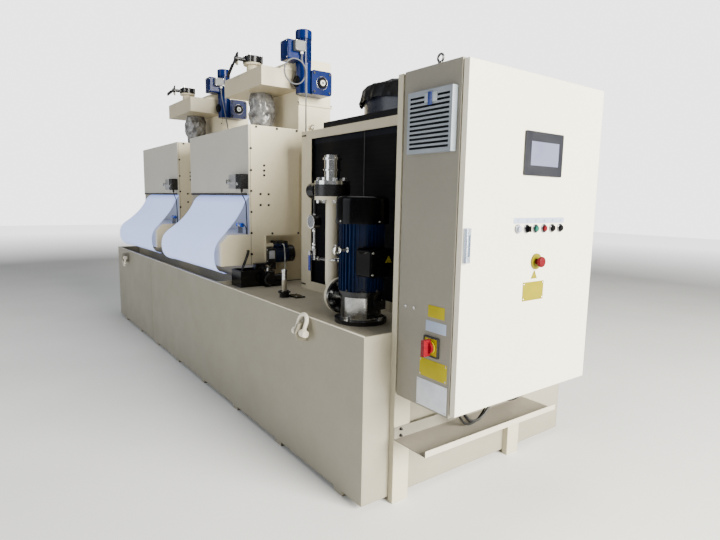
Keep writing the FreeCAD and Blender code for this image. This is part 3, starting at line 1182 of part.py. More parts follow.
bezels += [bored_ring(y, z_row, BEZEL_RADIUS) for y in row[1:]]
y_stop = y_front + STOP_Y
z_stop = z_low + STOP_RISE
save("control_units", *bezels, bored_ring(y_stop, z_stop, STOP_RING))
grip_depth, grip_width, grip_length = KNOB_GRIP
x_knob = x_face + BEZEL_DEPTH + KNOB_FACE
selector = rod(x_face + SEAT, row[1], z_row, CAP_RADIUS, BEZEL_DEPTH + KNOB_FACE - SEAT, (1, 0, 0))
grip = block(x_knob, x_knob + grip_depth, row[1] - grip_width / 2, row[1] + grip_width / 2,
             z_row - grip_length / 2, z_row + grip_length / 2)
save("selector_knob", selector.fuse(grip).removeSplitter())
x_cap = x_face + TRAVEL + SEAT
for name, y in zip(("button_green", "button_red", "button_black_left", "button_black_right"), row[2:]):
    save(name, rod(x_cap, y, z_row, CAP_RADIUS, BEZEL_DEPTH + CAP_OUT - TRAVEL, (1, 0, 0)))
stem = rod(x_cap, y_stop, z_stop, CAP_RADIUS, STOP_STEM, (1, 0, 0))
mushroom = rod(x_face + STOP_CAP_OUT, y_stop, z_stop, STOP_HEAD, STOP_CAP, (1, 0, 0))
mushroom = mushroom.makeFillet(STOP_ROUND, [e for e in mushroom.Edges if e.BoundBox.XLength < 0.01])
save("stop_head", stem.fuse(mushroom).removeSplitter())

# Main switch and fan vent on the cabinet's side
x_switch = x_cabinet + SWITCH_X
z_switch = z_low + SWITCH_RISE
half = SWITCH_PLATE / 2
y_plate_front = y_cabinet - SWITCH_PLATE_DEPTH
y_boss_front = y_plate_front - SWITCH_BOSS
plate = block(x_switch - half, x_switch + half, y_plate_front, y_cabinet, z_switch - half, z_switch + half)
boss = rod(x_switch, y_boss_front, z_switch, SWITCH_BOSS_RADIUS, SWITCH_BOSS, (0, 1, 0))
save("main_switch_base", plate.fuse(boss).removeSplitter())
width, depth, length = SWITCH_GRIP
y_turn = y_boss_front - SEAT
turn = rod(x_switch, y_turn, z_switch, SWITCH_TURN_RADIUS, SWITCH_TURN, (0, -1, 0))
grip = block(x_switch - width / 2, x_switch + width / 2, y_turn - SWITCH_TURN - depth, y_turn,
             z_switch - length / 2, z_switch + length / 2)
grip = grip.makeFillet(SWITCH_GRIP_ROUND, edges_along(grip, "y", depth + SWITCH_TURN))
save("main_switch_handle", turn.fuse(grip).removeSplitter())
x_vent = x_cabinet + VENT_X
z_vent = z_low + VENT_RISE
vent = block(x_vent, x_vent + VENT_WIDTH, y_cabinet - VENT_DEPTH, y_cabinet, z_vent, z_vent + VENT_HEIGHT)
slots = []
for i in range(VENT_SLOTS):
    z = z_vent + VENT_FOOT + i * VENT_SLOT_PITCH
    y = y_cabinet - VENT_DEPTH
    louvre = [(y, z), (y, z + VENT_SLOT), (y + VENT_SLOT_DEPTH, z + VENT_SLOT)]
    slots.append(extrude_x(louvre, x_vent + VENT_MARGIN, x_vent + VENT_WIDTH - VENT_MARGIN))
save("side_vent", vent.cut(Part.makeCompound(slots)))

# Cable tray below the cabinet
x_lip = x_post + TRAY_DEPTH
y_tray_end = y_cabinet_end + TRAY_PAST_CABINET
tray = block(x_post, x_post + TRAY_SHEET, y_cabinet, y_tray_end, TRAY_FLOOR, TRAY_FLOOR + TRAY_BACK).fuse([
    block(x_post, x_lip, y_cabinet, y_tray_end, TRAY_FLOOR, TRAY_FLOOR + TRAY_SHEET),
    block(x_lip - TRAY_SHEET, x_lip, y_cabinet, y_tray_end, TRAY_FLOOR, TRAY_FLOOR + TRAY_LIP)])
save("cable_tray", tray.removeSplitter())

# Cables: gear motor cables with a hanging turn, switch, sensor and drive leads, hose of the
# lift pump, and the strands that hang from the cabinet's floor into the tray
x_gland = COLUMN_FROM_SIDE - GEAR_FLANGE - (GEAR_BODY + TERMINAL_BOX[0] + PLUG_BOX[0]) / 2
y_gland = y_worm - MOTOR_RADIUS - TERMINAL_GAP + PLUG_PAST_BOX - PLUG_BOX[1] + GLAND_BACK
z_gland = z_motor + PLUG_RAISE - GLAND_LENGTH
turn_side = Vector(*TURN_SIDE)
turn_front = Vector(turn_side.y, -turn_side.x, 0)


def hanging_turn(x):
    centre = Vector(x + TURN_CENTRE[0], y_gland + TURN_CENTRE[1], z_gland + TURN_CENTRE[2])
    reach = TURN_RADIUS / math.cos(math.radians(180.0 / TURN_CORNERS))
    points = []
    for i in range(TURN_CORNERS + 1):
        angle = math.radians(360.0 / TURN_CORNERS * (0.5 - i))
        points.append(centre + turn_side * (reach * math.cos(angle)) + Vector(0, 0, reach * math.sin(angle))
                      + turn_front * (TURN_SPREAD * i / TURN_CORNERS))
    return points


cables = []
x = unit_sides["right"] - x_gland
turn = hanging_turn(x)
cables.append(cable([(x, y_gland, z_gland), (x, y_gland, z_gland - FIRST_RUN)] + turn
                    + [(turn[-1].x, turn[-1].y, z_deck)], CABLE_RADIUS))
x = unit_sides["left"] - x_gland
cables.append(cable([(x, y_gland, z_gland), (x, y_gland, z_gland - FIRST_RUN)]
                    + [(x + a, y_gland + b, z_deck + c) for a, b, c in FAR_CABLE], CABLE_RADIUS))
for x_side in unit_sides.values():
    x_exit = x_side - SWITCH_FROM_SIDE - SWITCH_HEAD_WIDTH / 2
    y_exit = y_cover - COVER_THICKNESS - SWITCH_HEAD_DEPTH / 2
    cables.append(cable([(x_exit, y_exit, z_cover_low + SWITCH_RAISE)]
                        + [(x_side + a, y_cover + b, z_nose_top + c) for a, b, c in SWITCH_CABLE], THIN_CABLE_RADIUS))
    x_exit = x_side - SENSOR_FROM_SIDE
    cables.append(cable([(x_exit, y_front + SENSOR_FRONT, z_nose_top + SENSOR_RISE)]
                        + [(x_side + a, y_front + SENSOR_FRONT + b, z_nose_top + c) for a, b, c in SENSOR_CABLE],
                        THIN_CABLE_RADIUS))
    x_exit = x_side - DRIVE_AXIS_IN + DRIVE_BOX[0] / 2
    y_exit = y_case + DRIVE_CASE + DRIVE_MOTOR_LENGTH / 2
    cables.append(cable([(x_exit, y_exit, z_drive + DRIVE_EXIT)]
                        + [(x_exit + a, y_exit + b, z_deck + c) for a, b, c in DRIVE_CABLE], THIN_CABLE_RADIUS))
for i in range(BOX_LEADS):
    offset = i * LEAD_PITCH
    cables.append(cable([(x_first + a, y_cover + b - offset, z_deck + c) for a, b, c in BOX_LEAD], THIN_CABLE_RADIUS))
x = x_first + DRIP_PAST_SIDE + LIFT_PUMP_HEAD[0]
y = y_front + LIFT_PUMP_FRONT
cables.append(cable([(x + a, y + b, z_deck + c) for a, b, c in PUMP_HOSE], HOSE_RADIUS))
for i, (lift, lean) in enumerate(STRAND_SAGS):
    strand = LEFT_STRAND if i < STRANDS_IN_BUNDLE else RIGHT_STRAND
    x = x_post + STRAND_X + (i % STRANDS_IN_BUNDLE) * STRAND_PITCH
    y = y_cabinet + i * STRAND_SHIFT
    hanging = [(x, y + lean + a, TRAY_FLOOR + lift + c) for a, c in strand[1:-1]]
    ends = [(x, y + a, TRAY_FLOOR + c) for a, c in (strand[0], strand[-1])]
    hanging[0] = (x, ends[0][1], hanging[0][2])
    hanging[-1] = (x, ends[1][1], hanging[-1][2])
    cables.append(cable(ends[:1] + hanging + ends[1:], CABLE_RADIUS))
save("control_cables", *cables)
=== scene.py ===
import bmesh
import bpy
import math
from mathutils import Matrix, Vector, noise


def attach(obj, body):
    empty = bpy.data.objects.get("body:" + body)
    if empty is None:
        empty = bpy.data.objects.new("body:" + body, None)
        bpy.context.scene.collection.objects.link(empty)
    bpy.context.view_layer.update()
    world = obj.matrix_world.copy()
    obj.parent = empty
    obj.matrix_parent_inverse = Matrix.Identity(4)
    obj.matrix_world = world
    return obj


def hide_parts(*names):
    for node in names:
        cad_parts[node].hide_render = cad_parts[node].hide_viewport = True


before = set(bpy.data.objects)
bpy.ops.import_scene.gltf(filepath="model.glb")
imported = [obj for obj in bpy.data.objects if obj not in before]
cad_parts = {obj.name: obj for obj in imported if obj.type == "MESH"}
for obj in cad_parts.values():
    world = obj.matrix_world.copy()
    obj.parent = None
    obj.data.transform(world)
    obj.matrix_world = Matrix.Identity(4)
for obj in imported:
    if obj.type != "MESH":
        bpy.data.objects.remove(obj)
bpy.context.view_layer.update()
bpy.ops.object.select_all(action="DESELECT")

# Camera: the eye stands past the cabinet's corner on the paper side, a little above the tank, and
# looks back along the plant.
EYE = (3.79257, -1.78908, 1.20775)
HEADING = 53.5569
LOOK_DOWN = 7.6676
ROLL = 1.0231
SENSOR_WIDTH = 36.0
FOCAL_LENGTH = 26.049
bpy.ops.object.camera_add()
camera = bpy.context.object
camera.data.sensor_width = SENSOR_WIDTH
camera.data.lens = FOCAL_LENGTH
camera.matrix_world = (Matrix.Translation(EYE)
                       @ Matrix.Rotation(math.radians(HEADING), 4, "Z")
                       @ Matrix.Rotation(math.radians(90.0 - LOOK_DOWN), 4, "X")
                       @ Matrix.Rotation(math.radians(ROLL), 4, "Z"))
bpy.context.scene.camera = camera

# Light: one large soft light past the cabinet end, a weak one overhead and one along the paper
# side, in a dim hall whose far walls look bright to the camera only.
WHITE = (1.0, 1.0, 1.0, 1.0)
HALL_TINT = (0.95, 0.97, 1.0, 1.0)
HALL_LIGHT = 0.22
BACKDROP_LIGHT = 3.2


def soft_light(place, aim, size, power, tint):
    """A square soft light that faces a point."""
    bpy.ops.object.light_add(type="AREA", location=place)
    lamp = bpy.context.object
    lamp.data.size = size
    lamp.data.energy = power
    lamp.data.color = tint
    lamp.rotation_euler = (Vector(aim) - Vector(place)).to_track_quat("-Z", "Y").to_euler()


def light_hall():
    """An even dim world, with a bright backdrop that only the camera sees."""
    world = bpy.data.worlds.new("hall")
    bpy.context.scene.world = world
    world.use_nodes = True
    tree = world.node_tree
    dim = tree.nodes["Background"]
    dim.inputs["Color"].default_value = HALL_TINT
    dim.inputs["Strength"].default_value = HALL_LIGHT
    backdrop = tree.nodes.new("ShaderNodeBackground")
    backdrop.inputs["Color"].default_value = WHITE
    backdrop.inputs["Strength"].default_value = BACKDROP_LIGHT
    seen = tree.nodes.new("ShaderNodeLightPath")
    shown = tree.nodes.new("ShaderNodeMixShader")
    tree.links.new(seen.outputs["Is Camera Ray"], shown.inputs[0])
    tree.links.new(dim.outputs[0], shown.inputs[1])
    tree.links.new(backdrop.outputs[0], shown.inputs[2])
    tree.links.new(shown.outputs[0], tree.nodes["World Output"].inputs["Surface"])


soft_light(place=(8.4, 1.2, 2.9), aim=(1.5, 0.0, 1.1), size=4.0, power=2500.0, tint=(1.0, 0.975, 0.88))
soft_light(place=(0.2, 0.4, 6.0), aim=(0.2, 0.0, 0.5), size=4.0, power=130.0, tint=(1.0, 1.0, 1.0))
soft_light(place=(-0.5, -6.5, 2.6), aim=(-0.2, 0.0, 0.9), size=4.5, power=185.0, tint=(0.93, 0.97, 1.0))
light_hall()

# Workshop floor: one pale, evenly ground surface, faintly mottled, that brightens with distance
# until it meets the backdrop.
FLOOR_WIDTH = 40.0
GLOW_STARTS = 7.0
GLOW_FULL = 15.0
FLOOR_GLOW = 2.2


def place_on(tree):
    """Object coordinates, so that a pattern stays on its piece."""
    found = tree.nodes.get("on the piece")
    if found is None:
        found = tree.nodes.new("ShaderNodeTexCoord")
        found.name = "on the piece"
    return found.outputs["Object"]


def feed(tree, socket, value):
    """Links an output to a socket, or sets the socket to a colour or a number."""
    if isinstance(value, bpy.types.NodeSocket):
        tree.links.new(value, socket)
    elif isinstance(value, tuple):
        socket.default_value = (*value, 1.0)
    else:
        socket.default_value = value


def mottle(tree, size, detail=2.0, stretch=(1.0, 1.0, 1.0)):
    """A soft noise whose patches are about size metres wide."""
    lay = tree.nodes.new("ShaderNodeMapping")
    lay.inputs["Scale"].default_value = stretch
    cloud = tree.nodes.new("ShaderNodeTexNoise")
    cloud.inputs["Scale"].default_value = 1.0 / size
    cloud.inputs["Detail"].default_value = detail
    tree.links.new(place_on(tree), lay.inputs["Vector"])
    tree.links.new(lay.outputs["Vector"], cloud.inputs["Vector"])
    return cloud.outputs["Fac"]


def between(tree, factor, low, high, to_low, to_high):
    """Carries a value from one range to another and stops at its ends."""
    carry = tree.nodes.new("ShaderNodeMapRange")
    carry.inputs["From Min"].default_value = low
    carry.inputs["From Max"].default_value = high
    carry.inputs["To Min"].default_value = to_low
    carry.inputs["To Max"].default_value = to_high
    tree.links.new(factor, carry.inputs["Value"])
    return carry.outputs["Result"]


def clouded(tree, size, detail, to_low=0.0, to_high=1.0):
    """A mottle that uses the whole of a range."""
    return between(tree, mottle(tree, size, detail), 0.3, 0.7, to_low, to_high)


def laid_over(tree, factor, under, over):
    """Two colours, or two colour outputs, mixed by a factor."""
    mix = tree.nodes.new("ShaderNodeMix")
    mix.data_type = "RGBA"
    tree.links.new(factor, mix.inputs[0])
    feed(tree, mix.inputs[6], under)
    feed(tree, mix.inputs[7], over)
    return mix.outputs[2]


def length_of(tree, vector):
    """How long a vector is."""
    measure = tree.nodes.new("ShaderNodeVectorMath")
    measure.operation = "LENGTH"
    tree.links.new(vector, measure.inputs[0])
    return measure.outputs["Value"]


def blank_finish(name):
    """A new material, its node tree and its shader."""
    finish = bpy.data.materials.new(name)
    finish.use_nodes = True
    return finish, finish.node_tree, finish.node_tree.nodes["Principled BSDF"]


def pale_floor():
    """Ground concrete with a faint mottle and a glow far away."""
    finish, tree, shader = blank_finish("pale floor")
    tone = clouded(tree, 0.8, 4.0)
    feed(tree, shader.inputs["Base Color"], laid_over(tree, tone, (0.80, 0.80, 0.79), (0.86, 0.86, 0.85)))
    shader.inputs["Roughness"].default_value = 0.6
    shader.inputs["Emission Color"].default_value = WHITE
    glow = between(tree, length_of(tree, place_on(tree)), GLOW_STARTS, GLOW_FULL, 0.0, FLOOR_GLOW)
    feed(tree, shader.inputs["Emission Strength"], glow)
    return finish


bpy.ops.mesh.primitive_plane_add(size=FLOOR_WIDTH)
floor = bpy.context.object
floor.name = "workshop_floor"
floor.data.materials.append(pale_floor())
bpy.ops.object.select_all(action="DESELECT")

# Tank: long walls, end walls and bearers of welded steel plate, with a folded rim and two lifting
# lugs with shackles. A pale strip along the front wall's top is a painted highlight on that rim, and
# the shackles are the plate's beige painted paler, a painted highlight. The plate is powder coated
# cream outside and in, and it is painted darker in patches towards its foot.
WALL_FRONT = -0.650
TANK_SPAN = (-1.846, 2.284)
RIM_HEIGHTS = (0.6992, 0.7022)
RIM_PROUD = 0.003
RIM_INSIDE = 0.004
LUGS = (1.864, -1.426)
LUG_HALF = 0.0085
WELD_PITCH = 0.006
WELD_PROUD = 0.0018
WALL_WELD = ((-0.648, 0.035), 0.63, 0.0045)
LUG_WELD = (0.592, 0.088, 0.0035)


def worked_out(tree, operation, first, second):
    """One sum on two numbers or outputs."""
    sum_node = tree.nodes.new("ShaderNodeMath")
    sum_node.operation = operation
    feed(tree, sum_node.inputs[0], first)
    feed(tree, sum_node.inputs[1], second)
    return sum_node.outputs["Value"]


def axes_of(tree, vector):
    """The three numbers of a vector."""
    split = tree.nodes.new("ShaderNodeSeparateXYZ")
    tree.links.new(vector, split.inputs["Vector"])
    return split.outputs


def soft_edges(tree, radius):
    """Normals that round the sharp edges of a piece."""
    soft = tree.nodes.new("ShaderNodeBevel")
    soft.samples = 4
    soft.inputs["Radius"].default_value = radius
    return soft.outputs["Normal"]


def bumped(tree, height, strength, distance, under=None):
    """Normals that follow a height, over other normals where some are given."""
    bump = tree.nodes.new("ShaderNodeBump")
    bump.inputs["Strength"].default_value = strength
    bump.inputs["Distance"].default_value = distance
    tree.links.new(height, bump.inputs["Height"])
    if under is not None:
        tree.links.new(under, bump.inputs["Normal"])
    return bump.outputs["Normal"]


def powder_coat(name, light, dark, gloss=0.45, grain=0.35, foot_darkening=None, edge=0.0025):
    """Cream coat with faint patches, orange peel, softened sheet edges and, where given, darker patches
    towards the foot.
    """
    finish, tree, shader = blank_finish(name)
    colour = laid_over(tree, clouded(tree, 0.45, 3.0), light, dark)
    specks = between(tree, mottle(tree, 0.02, 3.0), 0.35, 0.75, 0.0, 0.18)
    colour = laid_over(tree, specks, colour, tuple(0.8 * share for share in dark))
    # Where given, the coat turns darker in patches towards the bottom of the piece.
    if foot_darkening:
        low, high, foot_colour = foot_darkening
        foot = between(tree, axes_of(tree, place_on(tree))["Z"], low, high, 0.55, 0.0)
        darker_patches = worked_out(tree, "MULTIPLY", foot, mottle(tree, 0.12, 5.0))
        colour = laid_over(tree, darker_patches, colour, foot_colour)
    feed(tree, shader.inputs["Base Color"], colour)
    feed(tree, shader.inputs["Roughness"], clouded(tree, 0.15, 3.0, gloss - 0.06, gloss + 0.08))
    peel = bumped(tree, mottle(tree, 0.0035, 2.0), grain, 0.0006, soft_edges(tree, edge))
    feed(tree, shader.inputs["Normal"], peel)
    return finish


def dress(finish, *names):
    """Gives CAD nodes their finish."""
    for name in names:
        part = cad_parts[name]
        for seat in part.material_slots:
            seat.material = finish


def block(low, high):
    """Starts a piece from a block between two corners and opens it for shaping."""
    low, high = Vector(low), Vector(high)
    bpy.ops.mesh.primitive_cube_add(size=1.0, location=(low + high) / 2.0, scale=high - low)
    bpy.ops.object.transform_apply(location=True, rotation=True, scale=True)
    bpy.ops.object.mode_set(mode="EDIT")
    return bpy.context.object


def round_edges(width, steps=2):
    """Rounds all edges of the open piece."""
    bpy.ops.mesh.select_all(action="SELECT")
    bpy.ops.mesh.bevel(offset=width, segments=steps, affect="EDGES", clamp_overlap=True)


def hand_over(name, finish, body="plant", crease=35.0):
    """Ends a piece: normals out, soft shading, its finish, and the body that it moves with."""
    piece = bpy.context.object
    if piece.mode == "EDIT":
        bpy.ops.mesh.select_all(action="SELECT")
        bpy.ops.mesh.normals_make_consistent(inside=False)
        bpy.ops.object.mode_set(mode="OBJECT")
    bpy.ops.object.transform_apply(location=True, rotation=True, scale=True)
    bpy.ops.object.shade_smooth_by_angle(angle=math.radians(crease))
    piece.name = name
    piece.data.name = name
    piece.data.materials.clear()
    piece.data.materials.append(finish)
    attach(piece, body)
    bpy.ops.object.select_all(action="DESELECT")
    return piece


def weld_run(name, start, length, wide, finish):
    """An upright row of overlapping weld beads on the front wall."""
    bpy.ops.mesh.primitive_uv_sphere_add(segments=8, ring_count=6, radius=1.0, location=start)
    bpy.ops.transform.resize(value=(wide, WELD_PROUD, wide))
    bpy.ops.object.transform_apply(location=True, rotation=True, scale=True)
    beads = bpy.context.object.modifiers.new("beads", "ARRAY")
    beads.use_relative_offset = False
    beads.use_constant_offset = True
    beads.count = int(length / WELD_PITCH)
    beads.constant_offset_displace = (0.0, 0.0, WELD_PITCH)
    bpy.ops.object.modifier_apply(modifier="beads")
    hand_over(name, finish)


tank_coat = powder_coat("tank cream coat", (0.290, 0.267, 0.203), (0.265, 0.243, 0.184),
                        foot_darkening=(0.0, 0.30, (0.19, 0.165, 0.125)))
trough_coat = powder_coat("trough cream coat", (0.42, 0.385, 0.30), (0.34, 0.31, 0.235), gloss=0.5,
                          foot_darkening=(0.03, 0.5, (0.32, 0.28, 0.2)))
deck_coat = powder_coat("deck coat", (0.42, 0.385, 0.30), (0.31, 0.28, 0.215), gloss=0.4)
# The shackles wear the tank's beige; this finish paints it much paler, a painted highlight on their bows.
shackle_beige_and_highlight = powder_coat("shackle coat", (0.84, 0.78, 0.65), (0.78, 0.72, 0.59), gloss=0.4, edge=0.001)
# Rim finish: far paler than the tank coat, a painted highlight on the folded rim.
rim_painted_highlight = powder_coat("rim coat", (0.84, 0.79, 0.67), (0.78, 0.73, 0.61), gloss=0.4, edge=0.001)
dress(tank_coat, "tank_front_wall", "tank_back_wall", "tank_ends", "skid_bearers", "lifting_lugs")
dress(trough_coat, "trough_divider")
dress(deck_coat, "deck_plate")
dress(shackle_beige_and_highlight, "shackle_right", "shackle_left")
weld_foot, weld_length, weld_wide = WALL_WELD
weld_run("tank_wall_weld", (weld_foot[0], WALL_FRONT, weld_foot[1]), weld_length, weld_wide, tank_coat)
weld_start, weld_length, weld_wide = LUG_WELD
for number, lug in enumerate(LUGS):
    for edge_name, side in (("far", -LUG_HALF), ("near", LUG_HALF)):
        weld_run(f"lug_weld_{number}_{edge_name}", (lug + side, WALL_FRONT - 0.0005, weld_start),
                 weld_length, weld_wide, tank_coat)
# A pale rounded strip along the front wall's top: a painted highlight on the folded rim.
block((TANK_SPAN[0], WALL_FRONT - RIM_PROUD, RIM_HEIGHTS[0]),
      (TANK_SPAN[1], WALL_FRONT + RIM_INSIDE, RIM_HEIGHTS[1]))
round_edges(0.0012)
hand_over("tank_rim_painted_highlight", rim_painted_highlight)

# Filter units: folded sheet housings with bolted side panels, cover and nose box, in warm cream.
# Black button-head screws hold the side panels, a black rubber strip seals each cover's foot, and
# the upper columns behind the units wear the same coat.
UNIT_SIDES = {"right": 0.864, "left": -0.476}
UNIT_WIDTH = 1.030
UP = (0.0, 0.0, 1.0)
TO_CABINET = (1.0, 0.0, 0.0)
FROM_CABINET = (-1.0, 0.0, 0.0)
SEAL_INSET = 0.02
SEAL_LOW = (-0.4695, 1.222)
SEAL_HIGH = (-0.4632, 1.236)
JOINT_LOW = (-0.4515, 0.806)
JOINT_HIGH = (-0.4495, 1.636)
EDGE_SCREWS = [(-0.448, z) for z in (1.500, 1.372, 1.249, 1.124, 0.997, 0.869)]
GUIDE_SCREWS = [(-0.362, z) for z in (1.403, 1.373, 1.345)]
BEARING_SCREWS = [(y, z) for y in (-0.387, -0.333) for z in (1.232, 1.166)]
TOP_SCREWS = [(y, 1.627) for y in (-0.412, -0.275, -0.138)]
FOOT_SCREWS = [(-0.309, 0.992), (-0.125, 0.990)]
SIDE_SCREWS = EDGE_SCREWS + GUIDE_SCREWS + BEARING_SCREWS + TOP_SCREWS + FOOT_SCREWS


def round_bar(middle, radius, length, axis="Z", sides=24):
    """Starts a piece from a round bar along an axis and opens it for shaping."""
    turn = {"X": (0.0, math.pi / 2.0, 0.0), "Y": (math.pi / 2.0, 0.0, 0.0), "Z": (0.0, 0.0, 0.0)}[axis]
    bpy.ops.mesh.primitive_cylinder_add(vertices=sides, radius=radius, depth=length, location=middle,
                                        rotation=turn)
    bpy.ops.object.transform_apply(location=True, rotation=True, scale=True)
    bpy.ops.object.mode_set(mode="EDIT")
    return bpy.context.object


def pick_faces(test):
    """Selects the faces whose centre and normal pass the test."""
    bpy.ops.mesh.select_mode(type="FACE")
    bpy.ops.mesh.select_all(action="DESELECT")
    shape = bmesh.from_edit_mesh(bpy.context.object.data)
    for face in shape.faces:
        face.select_set(bool(test(face.calc_center_median(), face.normal)))
    bmesh.update_edit_mesh(bpy.context.object.data)


def pick_end(facing):
    """Selects the faces that look the given way."""
    pick_faces(lambda centre, normal: normal.dot(Vector(facing)) > 0.9)


def close_model():
    """Ends the shaping of a model that is to be copied."""
    bpy.ops.object.mode_set(mode="OBJECT")
    bpy.ops.object.select_all(action="DESELECT")
    return bpy.context.object


def button_head(radius, height, sides=12):
    """A button-head screw with its socket, standing on z = 0."""
    round_bar((0.0, 0.0, height / 2.0), radius, height, sides=sides)
    pick_end(UP)
    bpy.ops.mesh.inset(thickness=0.3 * radius, depth=0.35 * height)
    bpy.ops.mesh.inset(thickness=0.2 * radius)
    bpy.ops.mesh.extrude_region_move(TRANSFORM_OT_translate={"value": (0.0, 0.0, -0.7 * height)})
    return close_model()


def standing(place, facing, spin=0.0):
    """The place of a copy whose own z axis faces the given way."""
    turned = Vector(facing).to_track_quat("Z", "Y").to_matrix().to_4x4()
    return Matrix.Translation(place) @ turned @ Matrix.Rotation(spin, 4, "Z")


def set_out(model, places):
    """Copies a small part to its places and joins the copies into one piece."""
    bpy.ops.object.select_all(action="DESELECT")
    for place in places:
        copy = model.copy()
        copy.data = model.data.copy()
        bpy.context.collection.objects.link(copy)
        copy.matrix_world = place
        copy.select_set(True)
        bpy.context.view_layer.objects.active = copy
    bpy.data.objects.remove(model)
    if len(places) > 1:
        bpy.ops.object.join()
    bpy.ops.object.transform_apply(location=True, rotation=True, scale=True)
    return bpy.context.object


def plain_finish(name, light, dark, gloss, metal=0.0, patch=0.06, grain=0.2, grain_size=0.002, shine=0.5):
    """A finish with faint patches, uneven gloss and a fine grain."""
    finish, tree, shader = blank_finish(name)
    feed(tree, shader.inputs["Base Color"], laid_over(tree, clouded(tree, patch, 4.0), light, dark))
    uneven = clouded(tree, patch * 0.4, 4.0, gloss * 0.8, min(gloss * 1.25, 0.95))
    feed(tree, shader.inputs["Roughness"], uneven)
    shader.inputs["Metallic"].default_value = metal
    shader.inputs["Specular IOR Level"].default_value = shine
    feed(tree, shader.inputs["Normal"], bumped(tree, mottle(tree, grain_size, 2.0), grain, grain_size * 0.3))
    return finish


def plate(name, low, high, finish, edge=0.0015, body="plant"):
    """A thin plate with rounded edges."""
    block(low, high)
    round_edges(edge, 2)
    return hand_over(name, finish, body=body)


unit_coat = powder_coat("unit cream coat", (0.77, 0.69, 0.50), (0.72, 0.64, 0.455), grain=0.25)
cover_coat = powder_coat("cover coat", (0.52, 0.495, 0.43), (0.48, 0.455, 0.395), grain=0.25)
black_screw = plain_finish("blackened screws", (0.02, 0.02, 0.022), (0.035, 0.034, 0.034), 0.32, metal=0.6,
                           patch=0.01)
black_rubber = plain_finish("black rubber", (0.018, 0.018, 0.019), (0.03, 0.029, 0.028), 0.7, patch=0.04)
dress(unit_coat, "filter_housing_right", "filter_housing_left", "nose_box_right", "nose_box_left",
      "lift_column_right", "lift_column_left")
dress(cover_coat, "front_cover_right", "front_cover_left")
for hand, side in UNIT_SIDES.items():
    screws = [standing((side, y, z), TO_CABINET) for y, z in SIDE_SCREWS]
    screws += [standing((side - UNIT_WIDTH, y, z), FROM_CABINET) for y, z in SIDE_SCREWS]
    set_out(button_head(0.0072, 0.0042), screws)
    hand_over(f"side_panel_screws_{hand}", black_screw)
    plate(f"cover_seal_{hand}", (side - UNIT_WIDTH + SEAL_INSET, *SEAL_LOW), (side - SEAL_INSET, *SEAL_HIGH),
          black_rubber, 0.002)
    block((side - 0.0005, *JOINT_LOW), (side + 0.0012, *JOINT_HIGH))
    round_edges(0.0004, 1)
    hand_over(f"panel_joint_{hand}", black_rubber)
    plate(f"foot_sealant_{hand}", (side - 0.075, -0.3835, 0.6735), (side - 0.066, -0.012, 0.6775),
          black_rubber, 0.0015)

# Paper webs: filter paper that leaves each unit under its cover, rolls over the nose and turns
# back under. It is thin, bluish white and lightly creased, and its edges curl a little. Its left
# edge hangs further out than its right one, so each edge has its own track of (y, z) corners.
WEB_WIDTH = 0.900
WEB_FROM_SIDE = 0.932
PAPER_THICK = 0.0007
LEFT_TRACK = ((-0.350, 1.222), (-0.452, 1.222), (-0.503, 1.110), (-0.600, 1.010), (-0.718, 0.930),
              (-0.712, 0.795), (-0.640, 0.757), (-0.596, 0.756))
RIGHT_TRACK = ((-0.350, 1.222), (-0.452, 1.222), (-0.500, 1.115), (-0.565, 1.030), (-0.668, 0.925),
               (-0.668, 0.800), (-0.620, 0.757), (-0.596, 0.756))
CORNER_CUTS = 5
WEB_ROWS = 110
WEB_COLUMNS = 70
WAVE = 0.0024
CURL = 0.004
CURL_WIDTH = 0.06
HELD_ROWS = (14.0, 10.0)


def softened(corners):
    """The track's line with its corners cut round, as close points."""
    line = [Vector(corner) for corner in corners]
    for _ in range(CORNER_CUTS):
        cut = [line[0]]
        for first, second in zip(line, line[1:]):
            cut += [first.lerp(second, 0.25), first.lerp(second, 0.75)]
        line = cut + [line[-1]]
    return line


def evenly(line, count):
    """Points the same distance apart along a line, and the line's length."""
    reach = [0.0]
    for first, second in zip(line, line[1:]):
        reach.append(reach[-1] + (second - first).length)
    spread = []
    piece = 0
    for number in range(count):
        want = reach[-1] * number / (count - 1)
        while piece < len(line) - 2 and reach[piece + 1] < want:
            piece += 1
        part = (want - reach[piece]) / max(reach[piece + 1] - reach[piece], 1e-9)
        spread.append(line[piece].lerp(line[piece + 1], min(part, 1.0)))
    return spread, reach[-1]


def paper_finish():
    """Fibrous white paper with soft creases, and a painted blue glow that lightens it all over, its shaded
    side too.
    """
    finish, tree, shader = blank_finish("filter paper")
    tone = clouded(tree, 0.25, 3.0)
    feed(tree, shader.inputs["Base Color"], laid_over(tree, tone, (0.66, 0.78, 1.0), (0.61, 0.73, 0.97)))
    shader.inputs["Roughness"].default_value = 0.75
    shader.inputs["Specular IOR Level"].default_value = 0.25
    shader.inputs["Subsurface Weight"].default_value = 0.5
    shader.inputs["Subsurface Radius"].default_value = (1.0, 1.0, 1.0)
    shader.inputs["Subsurface Scale"].default_value = 0.004
    # Painted light: a blue glow that lifts the paper's shade and tints it blue.
    shader.inputs["Emission Color"].default_value = (0.31, 0.42, 1.0, 1.0)
    shader.inputs["Emission Strength"].default_value = 0.78
    fibre = bumped(tree, mottle(tree, 0.0012, 3.0), 0.25, 0.0004)
    creases = bumped(tree, mottle(tree, 0.09, 1.0, (1.0, 0.35, 0.35)), 0.35, 0.003, fibre)
    feed(tree, shader.inputs["Normal"], creases)
    return finish


